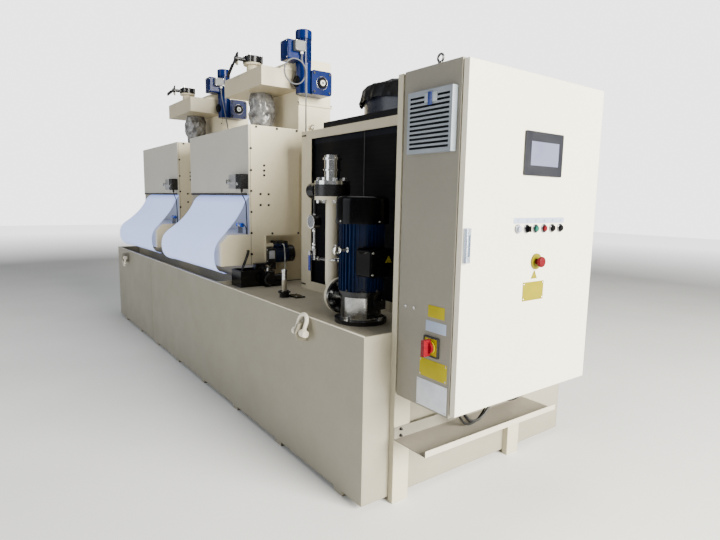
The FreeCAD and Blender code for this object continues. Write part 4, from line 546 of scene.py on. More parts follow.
web_paper = paper_finish()
left_line, left_length = evenly(softened(LEFT_TRACK), WEB_ROWS + 1)
right_line, right_length = evenly(softened(RIGHT_TRACK), WEB_ROWS + 1)
for hand, side in UNIT_SIDES.items():
    bpy.ops.mesh.primitive_grid_add(x_subdivisions=WEB_COLUMNS, y_subdivisions=WEB_ROWS, size=1.0)
    web = bpy.context.object
    for point in web.data.vertices:
        across = point.co.x + 0.5
        row = int(round((point.co.y + 0.5) * WEB_ROWS))
        place = left_line[row].lerp(right_line[row], across)
        ahead = (left_line[min(row + 1, WEB_ROWS)] - left_line[max(row - 1, 0)]).normalized()
        free = min(row / HELD_ROWS[0], 1.0) * min((WEB_ROWS - row) / HELD_ROWS[1], 1.0)
        wave = WAVE * noise.noise(Vector((across * 5.0, row * 0.045, side * 7.0)))
        curl = CURL * (max(abs(across - 0.5) - (0.5 - CURL_WIDTH), 0.0) / CURL_WIDTH) ** 2
        lift = free * (wave + curl)
        point.co = (side - WEB_FROM_SIDE + across * WEB_WIDTH, place.x + lift * ahead.y,
                    place.y - lift * ahead.x)
    thick = web.modifiers.new("paper", "SOLIDIFY")
    thick.thickness = PAPER_THICK
    thick.offset = 0.0
    bpy.ops.object.modifier_apply(modifier="paper")
    hand_over(f"filter_paper_{hand}", web_paper, crease=80.0)
    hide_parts(f"paper_web_{hand}")

# Limit switches on the covers and paper sensors under them: bought parts with an aluminium body,
# a black head, a round silver plunger, and a blue barrel between two nuts on a bent bracket.
BLACK_CAST = ((0.004, 0.004, 0.005), (0.009, 0.009, 0.010), 0.26, 0.0)
ALUMINIUM = ((0.56, 0.56, 0.56), (0.42, 0.42, 0.43), 0.36, 0.9)
STEEL = ((0.62, 0.62, 0.61), (0.46, 0.46, 0.45), 0.20, 1.0)
SENSOR_BLUE = ((0.01, 0.12, 0.62), (0.008, 0.09, 0.50), 0.30, 0.0)
TO_FRONT = (0.0, -1.0, 0.0)
SWITCH_BODY = ((-0.24, -0.53, 1.255), (-0.0905, -0.40, 1.352))
SWITCH_ROLLER = ((-0.24, -0.53, 1.285), (-0.17, -0.5012, 1.325))
SENSOR_BARREL = ((-0.18, -0.48, 1.02), (-0.09, -0.44, 1.06))
SENSOR_BRACKET = ((-0.1345, -0.48, 0.98), (-0.1305, -0.44, 1.06))


def in_box(tree, low, high):
    """1 where the node lies between two corners; None leaves that side open."""
    place = axes_of(tree, place_on(tree))
    inside = None
    for axis, near, far in zip("XYZ", low, high):
        for test, bound in (("GREATER_THAN", near), ("LESS_THAN", far)):
            if bound is None:
                continue
            gate = worked_out(tree, test, place[axis], bound)
            inside = gate if inside is None else worked_out(tree, "MULTIPLY", inside, gate)
    return inside


def value_over(tree, factor, under, over):
    """Two values, or two value outputs, mixed by a factor."""
    mix = tree.nodes.new("ShaderNodeMix")
    tree.links.new(factor, mix.inputs[0])
    feed(tree, mix.inputs[2], under)
    feed(tree, mix.inputs[3], over)
    return mix.outputs[0]


def coat_of(tree, coat):
    """The colour, gloss and metal of one coat."""
    light, dark, gloss, metal = coat
    colour = laid_over(tree, clouded(tree, 0.07, 3.0), light, dark)
    return colour, clouded(tree, 0.05, 2.0, gloss * 0.9, min(gloss * 1.15, 0.95)), metal


def zone_over(finish, coat, *boxes):
    """Lays another coat over a finish inside some boxes."""
    tree = finish.node_tree
    shader = tree.nodes["Principled BSDF"]
    colour, gloss, metal = coat_of(tree, coat)
    for low, high in boxes:
        here = in_box(tree, low, high)
        for socket, mix, value in (("Base Color", laid_over, colour), ("Roughness", value_over, gloss),
                                   ("Metallic", value_over, metal)):
            seat = shader.inputs[socket]
            under = seat.links[0].from_socket if seat.links else seat.default_value
            tree.links.new(mix(tree, here, under, value), seat)
    return finish


def parts_finish(name, base, *zones, grain=0.06, grain_size=0.0015, shine=0.35):
    """The finish of a node of several parts: each zone is a coat and the boxes that it fills."""
    finish, tree, shader = blank_finish(name)
    colour, gloss, metal = coat_of(tree, base)
    feed(tree, shader.inputs["Base Color"], colour)
    feed(tree, shader.inputs["Roughness"], gloss)
    shader.inputs["Metallic"].default_value = metal
    shader.inputs["Specular IOR Level"].default_value = shine
    for coat, boxes in zones:
        zone_over(finish, coat, *boxes)
    rough = bumped(tree, mottle(tree, grain_size, 2.0), grain, grain_size * 0.3, soft_edges(tree, 0.0012))
    feed(tree, shader.inputs["Normal"], rough)
    return finish


def heads(name, radius, height, spots, facing, finish, body="plant"):
    """Button-head screws that all face one way, as one piece."""
    set_out(button_head(radius, height), [standing(spot, facing) for spot in spots])
    hand_over(name, finish, body=body)


def for_both(low, high):
    """A zone's box on the right unit and its twin on the left one, given from the unit's side."""
    return [((side + low[0], low[1], low[2]), (side + high[0], high[1], high[2]))
            for side in UNIT_SIDES.values()]


bright_steel = plain_finish("bright steel", (0.66, 0.66, 0.65), (0.50, 0.50, 0.49), 0.22, metal=1.0,
                            patch=0.02)
dress(parts_finish("switch and sensor", BLACK_CAST, (ALUMINIUM, for_both(*SWITCH_BODY)),
                   (STEEL, for_both(*SWITCH_ROLLER)), (SENSOR_BLUE, for_both(*SENSOR_BARREL)),
                   (STEEL, for_both(*SENSOR_BRACKET))), "limit_switches")
for hand, side in UNIT_SIDES.items():
    round_bar((side - 0.064, -0.5095, 1.289), 0.0105, 0.004, "Y")
    pick_end(TO_FRONT)
    bpy.ops.mesh.inset(thickness=0.0025, depth=-0.001)
    bpy.ops.mesh.inset(thickness=0.002, depth=0.0015)
    hand_over(f"switch_lens_{hand}", bright_steel)
    heads(f"switch_screws_{hand}", 0.0042, 0.002,
          [(side + x, -0.501, z) for x in (-0.203, -0.108) for z in (1.268, 1.340)], TO_FRONT, bright_steel)
    for number, x in enumerate((-0.1395, -0.1245)):
        round_bar((side + x, -0.462, 1.040), 0.0165, 0.0085, "X", 6)
        round_edges(0.001)
        hand_over(f"sensor_nut_{hand}_{number}", bright_steel)
    round_bar((side - 0.048, -0.486, 1.252), 0.0075, 0.018, "Z", 16)
    pick_faces(lambda centre, normal: abs(normal.z) < 0.2)
    bpy.ops.mesh.inset(thickness=0.0015, depth=-0.001, use_individual=True)
    hand_over(f"switch_gland_{hand}", black_rubber)

# Paper drives at each unit's foot: a black gear case with a bare silver label, a dark blue finned
# motor with its fan grille, and a beige guard over the roller's end.
DRIVE_BLUE = ((0.003, 0.014, 0.060), (0.002, 0.009, 0.040), 0.25, 0.0)
CREAM = ((0.52, 0.465, 0.34), (0.47, 0.42, 0.305), 0.40, 0.0)
DRIVE_MOTOR = ((-0.09, -0.301, 0.79), (0.06, -0.206, 0.93))
ROLLER_GUARD = ((-0.035, -0.36, 0.9023), (0.01, -0.301, 0.94))
DRIVE_FACE = -0.353
TO_BACK = (0.0, 1.0, 0.0)
GRILLE_RINGS = 4
silver_label = plain_finish("silver label", (0.60, 0.62, 0.68), (0.52, 0.54, 0.60), 0.4, metal=0.15,
                            patch=0.03)
dress(parts_finish("paper drive", BLACK_CAST, (DRIVE_BLUE, for_both(*DRIVE_MOTOR)),
                   (CREAM, for_both(*ROLLER_GUARD))), "paper_drives")
for hand, side in UNIT_SIDES.items():
    plate(f"drive_label_{hand}", (side + 0.0338, -0.347, 0.838), (side + 0.0352, -0.309, 0.888),
          silver_label, 0.0004)
    heads(f"drive_case_screws_{hand}", 0.0045, 0.003,
          [(side + x, DRIVE_FACE, z) for x in (-0.058, 0.024) for z in (0.822, 0.892)], TO_FRONT,
          bright_steel)
    round_bar((side - 0.014, -0.1662, 0.862), 0.047, 0.0025, "Y", 32)
    pick_end(TO_BACK)
    for _ in range(GRILLE_RINGS):
        bpy.ops.mesh.inset(thickness=0.005)
        bpy.ops.mesh.extrude_region_move(TRANSFORM_OT_translate={"value": (0.0, -0.0015, 0.0)})
        bpy.ops.mesh.inset(thickness=0.004)
        bpy.ops.mesh.extrude_region_move(TRANSFORM_OT_translate={"value": (0.0, 0.0015, 0.0)})
    hand_over(f"drive_fan_grille_{hand}", black_rubber)

# Drip box and lift pump on the deck: folded black sheet with a turned-in rim, and a small black
# pump with a silver tee for its hose. Next to them stand a level switch and a bare cover plate.
DRIP_BLACK = ((0.003, 0.003, 0.0035), (0.006, 0.006, 0.006), 0.18, 0.0)
DRIP_LOW = (0.7655, -0.5375)
DRIP_HIGH = (0.9045, -0.3855)
DRIP_RIM_HEIGHTS = (0.7695, 0.7745)
TEE = (0.9275, -0.372)
LEVEL_SWITCH = (1.291, -0.453)
FLANGE_REACH = 0.029


def above(height):
    """The box of all that lies above a height."""
    return (None, None, height), (None, None, None)


def frame_bars(low, high, side_bar, end_bar):
    """The four bars of a rim between two (x, y) corners: front, back, left and right."""
    return (("front", (low[0], low[1]), (high[0], low[1] + end_bar)),
            ("back", (low[0], high[1] - end_bar), (high[0], high[1])),
            ("left", (low[0], low[1] + end_bar), (low[0] + side_bar, high[1] - end_bar)),
            ("right", (high[0] - side_bar, low[1] + end_bar), (high[0], high[1] - end_bar)))


def ring_of(middle, radius, count, first=0.0):
    """Points round a circle, each with its angle."""
    turns = [first + 2.0 * math.pi * step / count for step in range(count)]
    return [(middle[0] + radius * math.cos(turn), middle[1] + radius * math.sin(turn), turn)
            for turn in turns]


dress(parts_finish("drip box black", DRIP_BLACK), "drip_box")
dress(parts_finish("level switch", BLACK_CAST, (CREAM, [above(0.7095)]), (STEEL, [above(0.768)])),
      "level_switch")
for name, low, high in frame_bars(DRIP_LOW, DRIP_HIGH, 0.006, 0.007):
    plate(f"drip_box_rim_{name}", (*low, DRIP_RIM_HEIGHTS[0]), (*high, DRIP_RIM_HEIGHTS[1]), black_screw,
          0.001)
round_bar((*TEE, 0.7785), 0.0085, 0.021, sides=16)
pick_end(UP)
bpy.ops.mesh.inset(thickness=0.0005, depth=0.0005)
hand_over("lift_pump_tee_foot", bright_steel)
round_bar((*TEE, 0.7955), 0.0095, 0.044, "X", 16)
pick_faces(lambda centre, normal: abs(normal.x) > 0.9)
bpy.ops.mesh.inset(thickness=0.002, depth=0.0)
bpy.ops.mesh.extrude_region_shrink_fatten(TRANSFORM_OT_shrink_fatten={"value": 0.004})
hand_over("lift_pump_tee", bright_steel)
round_bar((*LEVEL_SWITCH, 0.8195), 0.0155, 0.009, sides=20)
pick_end(UP)
bpy.ops.mesh.inset(thickness=0.004, depth=0.004)
hand_over("level_switch_cap", bright_steel)
flange_spots = [(x, y, 0.708) for x, y, _ in ring_of(LEVEL_SWITCH, FLANGE_REACH, 4, math.pi / 4.0)]
cover_spots = [(x, y, 0.682) for x in (1.280, 1.360) for y in (-0.416, -0.374)]
heads("deck_fitting_screws", 0.0042, 0.0026, flange_spots + cover_spots, UP, bright_steel)

# Lift columns and feed troughs: cream sheet boxes bolted at a flanged seam, each column with a
# silver lifting ring; hexagon screws stand along the seam's rim.
COLUMN_SPANS = ((0.064, 0.664), (-1.276, -0.676))
SEAM_RIM = 0.004
FLATS_TO_CORNERS = 1.732


def hex_head(across, height):
    """A hexagon screw on its washer, standing on z = 0."""
    round_bar((0.0, 0.0, 0.0015), 0.72 * across, 0.003, sides=16)
    bpy.ops.mesh.primitive_cylinder_add(vertices=6, radius=across / FLATS_TO_CORNERS, depth=height,
                                        location=(0.0, 0.0, 0.003 + height / 2.0))
    pick_faces(lambda centre, normal: normal.z > 0.9 and centre.z > 0.003 + 0.9 * height)
    bpy.ops.mesh.inset(thickness=0.12 * across, depth=0.08 * across)
    return close_model()


def wire_ring(place, turn, radius, wire, steps=36, wire_steps=12):
    """Starts a ring of round wire by spinning the wire's section once round."""
    bpy.ops.mesh.primitive_circle_add(vertices=wire_steps, radius=wire, location=(radius, 0.0, 0.0),
                                      rotation=(math.pi / 2.0, math.pi / 2.0, 0.0))
    bpy.ops.object.transform_apply(location=True, rotation=True, scale=True)
    bpy.ops.object.mode_set(mode="EDIT")
    bpy.ops.mesh.select_all(action="SELECT")
    bpy.ops.mesh.spin(steps=steps, angle=2.0 * math.pi, center=(0.0, 0.0, 0.0), axis=(0.0, 0.0, 1.0))
    bpy.ops.mesh.select_all(action="SELECT")
    bpy.ops.mesh.remove_doubles(threshold=0.00001)
    bpy.context.object.rotation_euler = turn
    bpy.context.object.location = place


dress(powder_coat("feed trough coat", (0.53, 0.47, 0.335), (0.49, 0.43, 0.305), grain=0.25),
      "feed_trough_right", "feed_trough_left")
rim_screws = []
for low, high in COLUMN_SPANS:
    rim_screws += [standing((x, y, 1.839), UP) for x in (low - SEAM_RIM, high + SEAM_RIM)
                   for y in (-0.014, 0.244)]
set_out(hex_head(0.008, 0.005), rim_screws)
hand_over("column_seam_screws", black_screw)
ring_steel = parts_finish("lifting rings", STEEL)
for number, (low, high) in enumerate(COLUMN_SPANS):
    wire_ring((high + 0.026, 0.081, 1.686), (math.pi / 2.0, 0.0, 0.0), 0.016, 0.0046)
    hand_over(f"column_ring_{number}", ring_steel)

# Inlet valves on the troughs: black cast wafer valves held by long studs through their lugs, each
# with a notched plate and a hand lever that turns with the stem.
INLETS = {"right": (0.405, -0.215), "left": (-0.935, -0.215)}
VALVE_FOOT = 2.1008
STUD_CIRCLE = 0.060
cast_iron = parts_finish("black cast iron", BLACK_CAST, grain=0.4, grain_size=0.003)
below_valve = ((None, None, None), (None, None, VALVE_FOOT))
dress(parts_finish("inlet valve", BLACK_CAST, (CREAM, [below_valve]), grain=0.4, grain_size=0.003),
      "inlet_valves")
dress(cast_iron, "inlet_lever_right", "inlet_lever_left")
set_out(hex_head(0.012, 0.010), [standing((x, y, 2.145), UP) for middle in INLETS.values()
                                 for x, y, _ in ring_of(middle, STUD_CIRCLE, 4, math.pi / 4.0)])
hand_over("inlet_valve_nuts", bright_steel)

# Feed ducts between trough and unit: flexible pipes wrapped in crumpled clear film, so that they
# look silver grey and lumpy. DUCT_SHAPE gives their width from foot to top as shares of the radius.
DUCTS = {"right": (0.364, -0.134), "left": (-0.976, -0.134)}
DUCT_FEET = (1.638, 1.919)
DUCT_RADIUS = 0.086
DUCT_SHAPE = (0.66, 0.80, 0.98, 1.06, 1.04, 0.84)
DUCT_FOLD = 0.020
DUCT_BANDS = 84


def crumpled(point, size, seed):
    """Sharp-ridged folds, from 0 in the valleys to about 1 on the ridges."""
    folds = 0.0
    for octave in (1.0, 2.1, 4.3):
        place = Vector(point) * (octave / size) + Vector((seed, seed * 1.7, -seed))
        folds += (1.0 - abs(noise.noise(place)) * 2.2) / octave
    return folds / 1.7


def film_finish():
    """Clear film over grey hose: glossy, patchy grey, with sharp creases."""
    finish, tree, shader = blank_finish("crumpled film")
    tone = clouded(tree, 0.05, 5.0)
    feed(tree, shader.inputs["Base Color"], laid_over(tree, tone, (0.30, 0.295, 0.29), (0.05, 0.05, 0.055)))
    feed(tree, shader.inputs["Roughness"], clouded(tree, 0.02, 3.0, 0.12, 0.34))
    shader.inputs["Specular IOR Level"].default_value = 0.6
    shader.inputs["Metallic"].default_value = 0.25
    feed(tree, shader.inputs["Normal"], bumped(tree, mottle(tree, 0.022, 4.0, (1.0, 1.0, 0.6)), 0.8, 0.006))
    return finish


clear_film = film_finish()
for hand, (x, y) in DUCTS.items():
    duct = round_bar((x, y, sum(DUCT_FEET) / 2.0), DUCT_RADIUS, DUCT_FEET[1] - DUCT_FEET[0], sides=72)
    bpy.ops.mesh.select_mode(type="EDGE")
    bpy.ops.mesh.select_all(action="DESELECT")
    shape = bmesh.from_edit_mesh(duct.data)
    for edge in shape.edges:
        edge.select_set(abs(edge.verts[0].co.z - edge.verts[1].co.z) > 0.1)
    bmesh.update_edit_mesh(duct.data)
    bpy.ops.mesh.subdivide(number_cuts=DUCT_BANDS)
    bpy.ops.object.mode_set(mode="OBJECT")
    for point in duct.data.vertices:
        rise = (point.co.z - DUCT_FEET[0]) / (DUCT_FEET[1] - DUCT_FEET[0]) * (len(DUCT_SHAPE) - 1)
        band = min(int(rise), len(DUCT_SHAPE) - 2)
        wide = DUCT_SHAPE[band] + (DUCT_SHAPE[band + 1] - DUCT_SHAPE[band]) * (rise - band)
        off = Vector((point.co.x - x, point.co.y - y, 0.0))
        fold = DUCT_FOLD * (crumpled((point.co.x, point.co.y, point.co.z * 0.6), 0.085, x * 9.0) - 0.62)
        off = off.normalized() * (off.length * wide + fold) if off.length > 0.01 else off
        point.co = (x + off.x, y + off.y, point.co.z)
    hand_over(f"film_duct_{hand}", clear_film, crease=50.0)
    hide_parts(f"inlet_duct_{hand}")

# Gear units on the columns: bright blue worm gear cases and finned motors. The hub has a black
# seal ring round a white hollow shaft; a grey cast plug carries the motor's cable.
GEAR_BLUE = ((0.002, 0.012, 0.090), (0.0015, 0.008, 0.060), 0.22, 0.0)
GREY_CAST = ((0.17, 0.175, 0.18), (0.11, 0.115, 0.12), 0.45, 0.3)
WHITE_NYLON = ((0.74, 0.74, 0.72), (0.66, 0.66, 0.64), 0.40, 0.0)
GEARS = {"right": 0.0, "left": -1.340}
HUB = (0.091, 1.957)
HUB_SCREW = 0.058
CABLE_PLUG = ((0.7852, -0.135, 2.118), (0.83, -0.03, 2.195))
PLUG_GLAND = ((0.790, -0.085, 2.10), (0.815, -0.05, 2.1235))
HUB_COVER = ((0.7925, 0.02, 1.90), (0.81, 0.16, 2.02))


def shifted(box, shift):
    """A zone's box moved along x."""
    return [tuple((corner[0] + shift, corner[1], corner[2]) for corner in box)]


black_seal = plain_finish("hub seal", (0.002, 0.002, 0.003), (0.004, 0.004, 0.005), 0.5, patch=0.02,
                          shine=0.05)
white_shaft = plain_finish("hollow shaft cap", (0.60, 0.60, 0.58), (0.52, 0.52, 0.50), 0.35, patch=0.02)
gear_blue = parts_finish("gear case blue", GEAR_BLUE, shine=0.15)
for hand, shift in GEARS.items():
    dress(parts_finish(f"gear unit {hand}", GEAR_BLUE, (GREY_CAST, shifted(CABLE_PLUG, shift)),
                       (WHITE_NYLON, shifted(PLUG_GLAND, shift)), (BLACK_CAST, shifted(HUB_COVER, shift)),
                       shine=0.15), f"gear_unit_{hand}")
    wire_ring((shift + 0.7935, *HUB), (0.0, math.pi / 2.0, 0.0), 0.041, 0.0024, 48, 8)
    hand_over(f"hub_ring_{hand}", bright_steel)
    for part, out, inner, x_face, finish in (("seal", 0.0335, 0.0185, 0.8030, black_seal),
                                             ("shaft", 0.0180, 0.0085, 0.8045, white_shaft),
                                             ("bore", 0.0086, 0.0030, 0.8036, black_seal)):
        round_bar((shift + x_face - 0.003, *HUB), out, 0.006, "X", 32)
        pick_end(TO_CABINET)
        bpy.ops.mesh.inset(thickness=out - inner)
        bpy.ops.mesh.extrude_region_move(TRANSFORM_OT_translate={"value": (-0.002, 0.0, 0.0)})
        hand_over(f"hub_{part}_{hand}", finish)
    set_out(hex_head(0.011, 0.006), [standing((shift + 0.792, HUB[0] + y, HUB[1] + z), TO_CABINET)
                                     for y in (-HUB_SCREW, HUB_SCREW) for z in (-HUB_SCREW, HUB_SCREW)])
    hand_over(f"gear_case_screws_{hand}", black_screw)
    round_bar((shift + 0.733, -0.0665, 1.957), 0.034, 0.011, "Y", 32)
    pick_end(TO_FRONT)
    bpy.ops.mesh.inset(thickness=0.006, depth=0.003)
    bpy.ops.mesh.inset(thickness=0.008, depth=-0.004)
    bpy.ops.mesh.inset(thickness=0.006, depth=0.004)
    hand_over(f"worm_cap_{hand}", black_seal)
    plate(f"terminal_lid_{hand}", (shift + 0.684, -0.1555, 2.079), (shift + 0.778, -0.1515, 2.191), gear_blue,
          0.0012)
    heads(f"terminal_screws_{hand}", 0.005, 0.003,
          [(shift + x, -0.1555, z) for x in (0.691, 0.771) for z in (2.086, 2.184)], TO_FRONT, bright_steel)
    heads(f"plug_screws_{hand}", 0.0045, 0.003,
          [(shift + 0.819, y, z) for y in (-0.113, -0.051) for z in (2.131, 2.182)], TO_CABINET, bright_steel)

# Chiller: a cream sheet frame with a black condenser block behind its window. The fins of the block
# show as fine upright lines between its tubes, with one joint in the middle.
FIN_PITCH = 0.0044
TUBE_PITCH = 0.025
TUBE_WIDE = 0.006
CORE_TOP = (1.518, 1.522)
POST_SCREWS = [(x, z) for x in (1.066, 1.083, 1.100) for z in (1.571, 0.700)]
POST_PITCH = 1.162
SHEET_SCREWS = (0.71, 1.13, 1.57)


def condenser_finish():
    """Black fins and tubes, with a slightly paler head above them."""
    finish, tree, shader = blank_finish("condenser fins")
    place = axes_of(tree, place_on(tree))
    columns = worked_out(tree, "PINGPONG", place["X"], FIN_PITCH / 2.0)
    fin = between(tree, columns, 0.0, FIN_PITCH / 2.0, 0.0, 1.0)
    rows = worked_out(tree, "PINGPONG", place["Z"], TUBE_PITCH / 2.0)
    tube = between(tree, rows, (TUBE_PITCH - TUBE_WIDE) / 2.0, TUBE_PITCH / 2.0, 0.0, 0.6)
    colour = laid_over(tree, fin, (0.001, 0.001, 0.0015), (0.004, 0.004, 0.006))
    colour = laid_over(tree, tube, colour, (0.006, 0.006, 0.008))
    head = between(tree, place["Z"], *CORE_TOP, 0.0, 0.8)
    feed(tree, shader.inputs["Base Color"], laid_over(tree, head, colour, (0.010, 0.011, 0.016)))
    feed(tree, shader.inputs["Roughness"], clouded(tree, 0.3, 3.0, 0.5, 0.7))
    shader.inputs["Specular IOR Level"].default_value = 0.05
    feed(tree, shader.inputs["Normal"], bumped(tree, fin, 0.6, 0.001))
    return finish


ROOF_BLACK = ((0.006, 0.006, 0.008), (0.011, 0.011, 0.014), 0.40, 0.0)
dress(condenser_finish(), "condenser_panel")
dress(parts_finish("chiller frame", CREAM, (ROOF_BLACK, [above(1.5952)])), "chiller_body")
plate("condenser_joint", (1.643, -0.1905, 0.726), (1.649, -0.1882, 1.547), black_rubber,
      0.0006)
front_screws = [standing((x + shift, -0.210, z), TO_FRONT) for shift in (0.0, POST_PITCH)
                for x, z in POST_SCREWS]
end_screws = [standing((1.054, y, z), FROM_CABINET) for y in (-0.195, 0.19, 0.575) for z in SHEET_SCREWS]
back_screws = [standing((x, 0.590, z), TO_BACK) for x in (1.09, 1.46, 1.87, 2.24) for z in SHEET_SCREWS]
set_out(button_head(0.0055, 0.0034), front_screws + end_screws + back_screws)
hand_over("chiller_screws", black_screw)

# Roof tray of the chiller: a shallow tray of black plastic sheet that lies on the roof round the
# fan, with an upright rim on all four sides.
TRAY_LOW = (1.195, -0.150)
TRAY_HIGH = (2.236, 0.562)
TRAY_SHEET = 0.006
TRAY_HEIGHTS = (1.594, 1.642)
roof_black = plain_finish("roof tray black", (0.003, 0.003, 0.005), (0.006, 0.006, 0.008), 0.5, shine=0.12)
for name, low, high in frame_bars(TRAY_LOW, TRAY_HIGH, TRAY_SHEET, TRAY_SHEET):
    plate(f"roof_tray_rim_{name}", (*low, TRAY_HEIGHTS[0]), (*high, TRAY_HEIGHTS[1]), roof_black,
          0.002)

# Fan on the chiller's roof: a satin black shroud that is still covered. The cover is a sheet of
# black film pulled over the ring, crumpled on top, pleated round its skirt and knotted at its front
# left edge.
FAN = (1.664, 0.190)
SHROUD_BLACK = ((0.013, 0.015, 0.026), (0.018, 0.020, 0.032), 0.26, 0.0)
COVER_FLAT = 0.80
COVER_RADIUS = 0.334
COVER_BEND = 0.022
COVER_TOP = 1.790
COVER_CELLS = 150
COVER_FILM = 0.0008
SKIRT_FREE = 0.04
SKIRT_FLARE = 0.006
PLEATS = 23.0
PLEAT_DEPTH = 0.005
RAGGED_HEM = 0.016
FOLD_HEIGHT = 0.030
KNOT_OUT = 0.345
KNOT_TURN = math.radians(-140.0)
KNOT_HEIGHT = 1.735
KNOT_RADIUS = 0.015


def black_film():
    """Thin black film with sharp small creases."""
    finish, tree, shader = blank_finish("black cover film")
    tone = clouded(tree, 0.05, 4.0)
    feed(tree, shader.inputs["Base Color"],
         laid_over(tree, tone, (0.0025, 0.0025, 0.003), (0.007, 0.007, 0.008)))
    feed(tree, shader.inputs["Roughness"], clouded(tree, 0.03, 3.0, 0.24, 0.5))
    shader.inputs["Specular IOR Level"].default_value = 0.12
    feed(tree, shader.inputs["Normal"], bumped(tree, mottle(tree, 0.03, 4.0), 0.7, 0.006))
    return finish


dress(parts_finish("fan shroud black", SHROUD_BLACK), "fan_shroud")
bpy.ops.mesh.primitive_grid_add(x_subdivisions=COVER_CELLS, y_subdivisions=COVER_CELLS, size=2.0)
cover = bpy.context.object
crest = COVER_RADIUS - COVER_BEND
for point in cover.data.vertices:
    across, along = point.co.x, point.co.y
    disc_x = across * math.sqrt(1.0 - along * along / 2.0)
    disc_y = along * math.sqrt(1.0 - across * across / 2.0)
    turn = math.atan2(disc_y, disc_x)
    reach = math.hypot(disc_x, disc_y) * COVER_FLAT / 2.0
    skirt_drop = max(reach - crest - COVER_BEND * math.pi / 2.0, 0.0)
    if reach < crest:
        radius = reach
        height = 0.0
    else:
        bend = min((reach - crest) / COVER_BEND, math.pi / 2.0)
        radius = crest + COVER_BEND * math.sin(bend)
        height = -COVER_BEND * (1.0 - math.cos(bend)) - skirt_drop
    loose = min(skirt_drop / SKIRT_FREE, 1.0)
    inward = min(reach / crest, 1.0)
    pleat = math.sin(turn * PLEATS + 2.5 * noise.noise(Vector((turn * 2.0, 0.0, 3.0))))
    radius += loose * (SKIRT_FLARE + PLEAT_DEPTH * pleat)
    crease = crumpled(Vector((disc_x * 0.49, disc_y * 0.49, 0.0)), 0.16, 4.0) - 0.6
    pillow = FOLD_HEIGHT * (1.0 - inward ** 4)
    top_fold = FOLD_HEIGHT * crease * (1.0 - 0.75 * inward ** 3)
    ragged = RAGGED_HEM * noise.noise(Vector((turn * 3.0, 5.0, 0.0))) * loose
    point.co = (FAN[0] + radius * math.cos(turn), FAN[1] + radius * math.sin(turn),
                COVER_TOP + height + pillow + top_fold + ragged)
thick = cover.modifiers.new("film", "SOLIDIFY")
thick.thickness = COVER_FILM
thick.offset = 1.0
bpy.ops.object.modifier_apply(modifier="film")
hand_over("fan_cover", black_film(), crease=60.0)
knot = Vector((FAN[0] + KNOT_OUT * math.cos(KNOT_TURN), FAN[1] + KNOT_OUT * math.sin(KNOT_TURN), KNOT_HEIGHT))
bpy.ops.mesh.primitive_ico_sphere_add(subdivisions=4, radius=KNOT_RADIUS, location=knot)
tuft = bpy.context.object
bpy.ops.object.transform_apply(location=True, rotation=True, scale=True)
for point in tuft.data.vertices:
    off = point.co - knot
    folded = 1.0 + 0.7 * (crumpled(point.co, 0.02, 2.0) - 0.6)
    point.co = knot + Vector((off.x * folded, off.y * folded, off.z * folded * 1.5 - 0.006))
hand_over("fan_cover_knot", black_film(), crease=60.0)

# Pump: a vertical pump on the deck. Its head and lantern are black castings with perforated
# stainless guards, the motor is dark blue with fins, and the fan cowl and terminal box are black.
PUMP = (1.966, -0.433)
PUMP_BLUE = ((0.0015, 0.012, 0.056), (0.001, 0.008, 0.036), 0.22, 0.0)
GLOSS_BLACK = ((0.0015, 0.0015, 0.002), (0.003, 0.003, 0.0035), 0.12, 0.0)
TERMINAL_BOX = ((2.026, -0.54, 0.885), (2.13, -0.36, 1.01))
EYE_BOSS = ((1.82, -0.54, 0.90), (1.8955, -0.50, 0.99))
EYE_RING = ((1.80, -0.60, 0.90), (1.90, -0.506, 0.99))
COWL_FOOT = 1.1065
GUARD_RADIUS = 0.0906
GUARD_ZONE = ((1.80, -0.60, 0.7005), (2.13, -0.26, 0.7905))
GUARD_TURN = math.radians(-38.0)
HOLE_PITCH = 0.0052
HOLE_RADIUS = 0.0017
COWL_RINGS = 6


def guard_finish():
    """Black castings, and stainless sheet with rows of round holes where the guards lie."""
    finish, tree, shader = blank_finish("pump head with perforated guards")
    black, black_gloss, _ = coat_of(tree, BLACK_CAST)
    steel, steel_gloss, _ = coat_of(tree, STEEL)
    centred = tree.nodes.new("ShaderNodeMapping")
    centred.inputs["Location"].default_value = (-PUMP[0], -PUMP[1], 0.0)
    tree.links.new(place_on(tree), centred.inputs["Vector"])
    place = axes_of(tree, centred.outputs["Vector"])
    flat = tree.nodes.new("ShaderNodeCombineXYZ")
    tree.links.new(place["X"], flat.inputs["X"])
    tree.links.new(place["Y"], flat.inputs["Y"])
    outside = worked_out(tree, "GREATER_THAN", length_of(tree, flat.outputs["Vector"]), GUARD_RADIUS)
    guard_here = worked_out(tree, "MULTIPLY", outside, in_box(tree, *GUARD_ZONE))
    turned = tree.nodes.new("ShaderNodeMapping")
    turned.inputs["Rotation"].default_value = (0.0, 0.0, GUARD_TURN)
    tree.links.new(centred.outputs["Vector"], turned.inputs["Vector"])
    guard = axes_of(tree, turned.outputs["Vector"])
    squares = [worked_out(tree, "POWER", worked_out(tree, "PINGPONG", guard[axis], HOLE_PITCH / 2.0), 2.0)
               for axis in ("X", "Z")]
    hole = worked_out(tree, "LESS_THAN", worked_out(tree, "ADD", *squares), HOLE_RADIUS ** 2)
    pierced = laid_over(tree, hole, steel, (0.01, 0.01, 0.01))
    feed(tree, shader.inputs["Base Color"], laid_over(tree, guard_here, black, pierced))
    feed(tree, shader.inputs["Metallic"], value_over(tree, guard_here, 0.0, 1.0))
    feed(tree, shader.inputs["Roughness"], value_over(tree, guard_here, black_gloss, steel_gloss))
    feed(tree, shader.inputs["Normal"], bumped(tree, mottle(tree, 0.003, 2.0), 0.3, 0.001))
    return finish


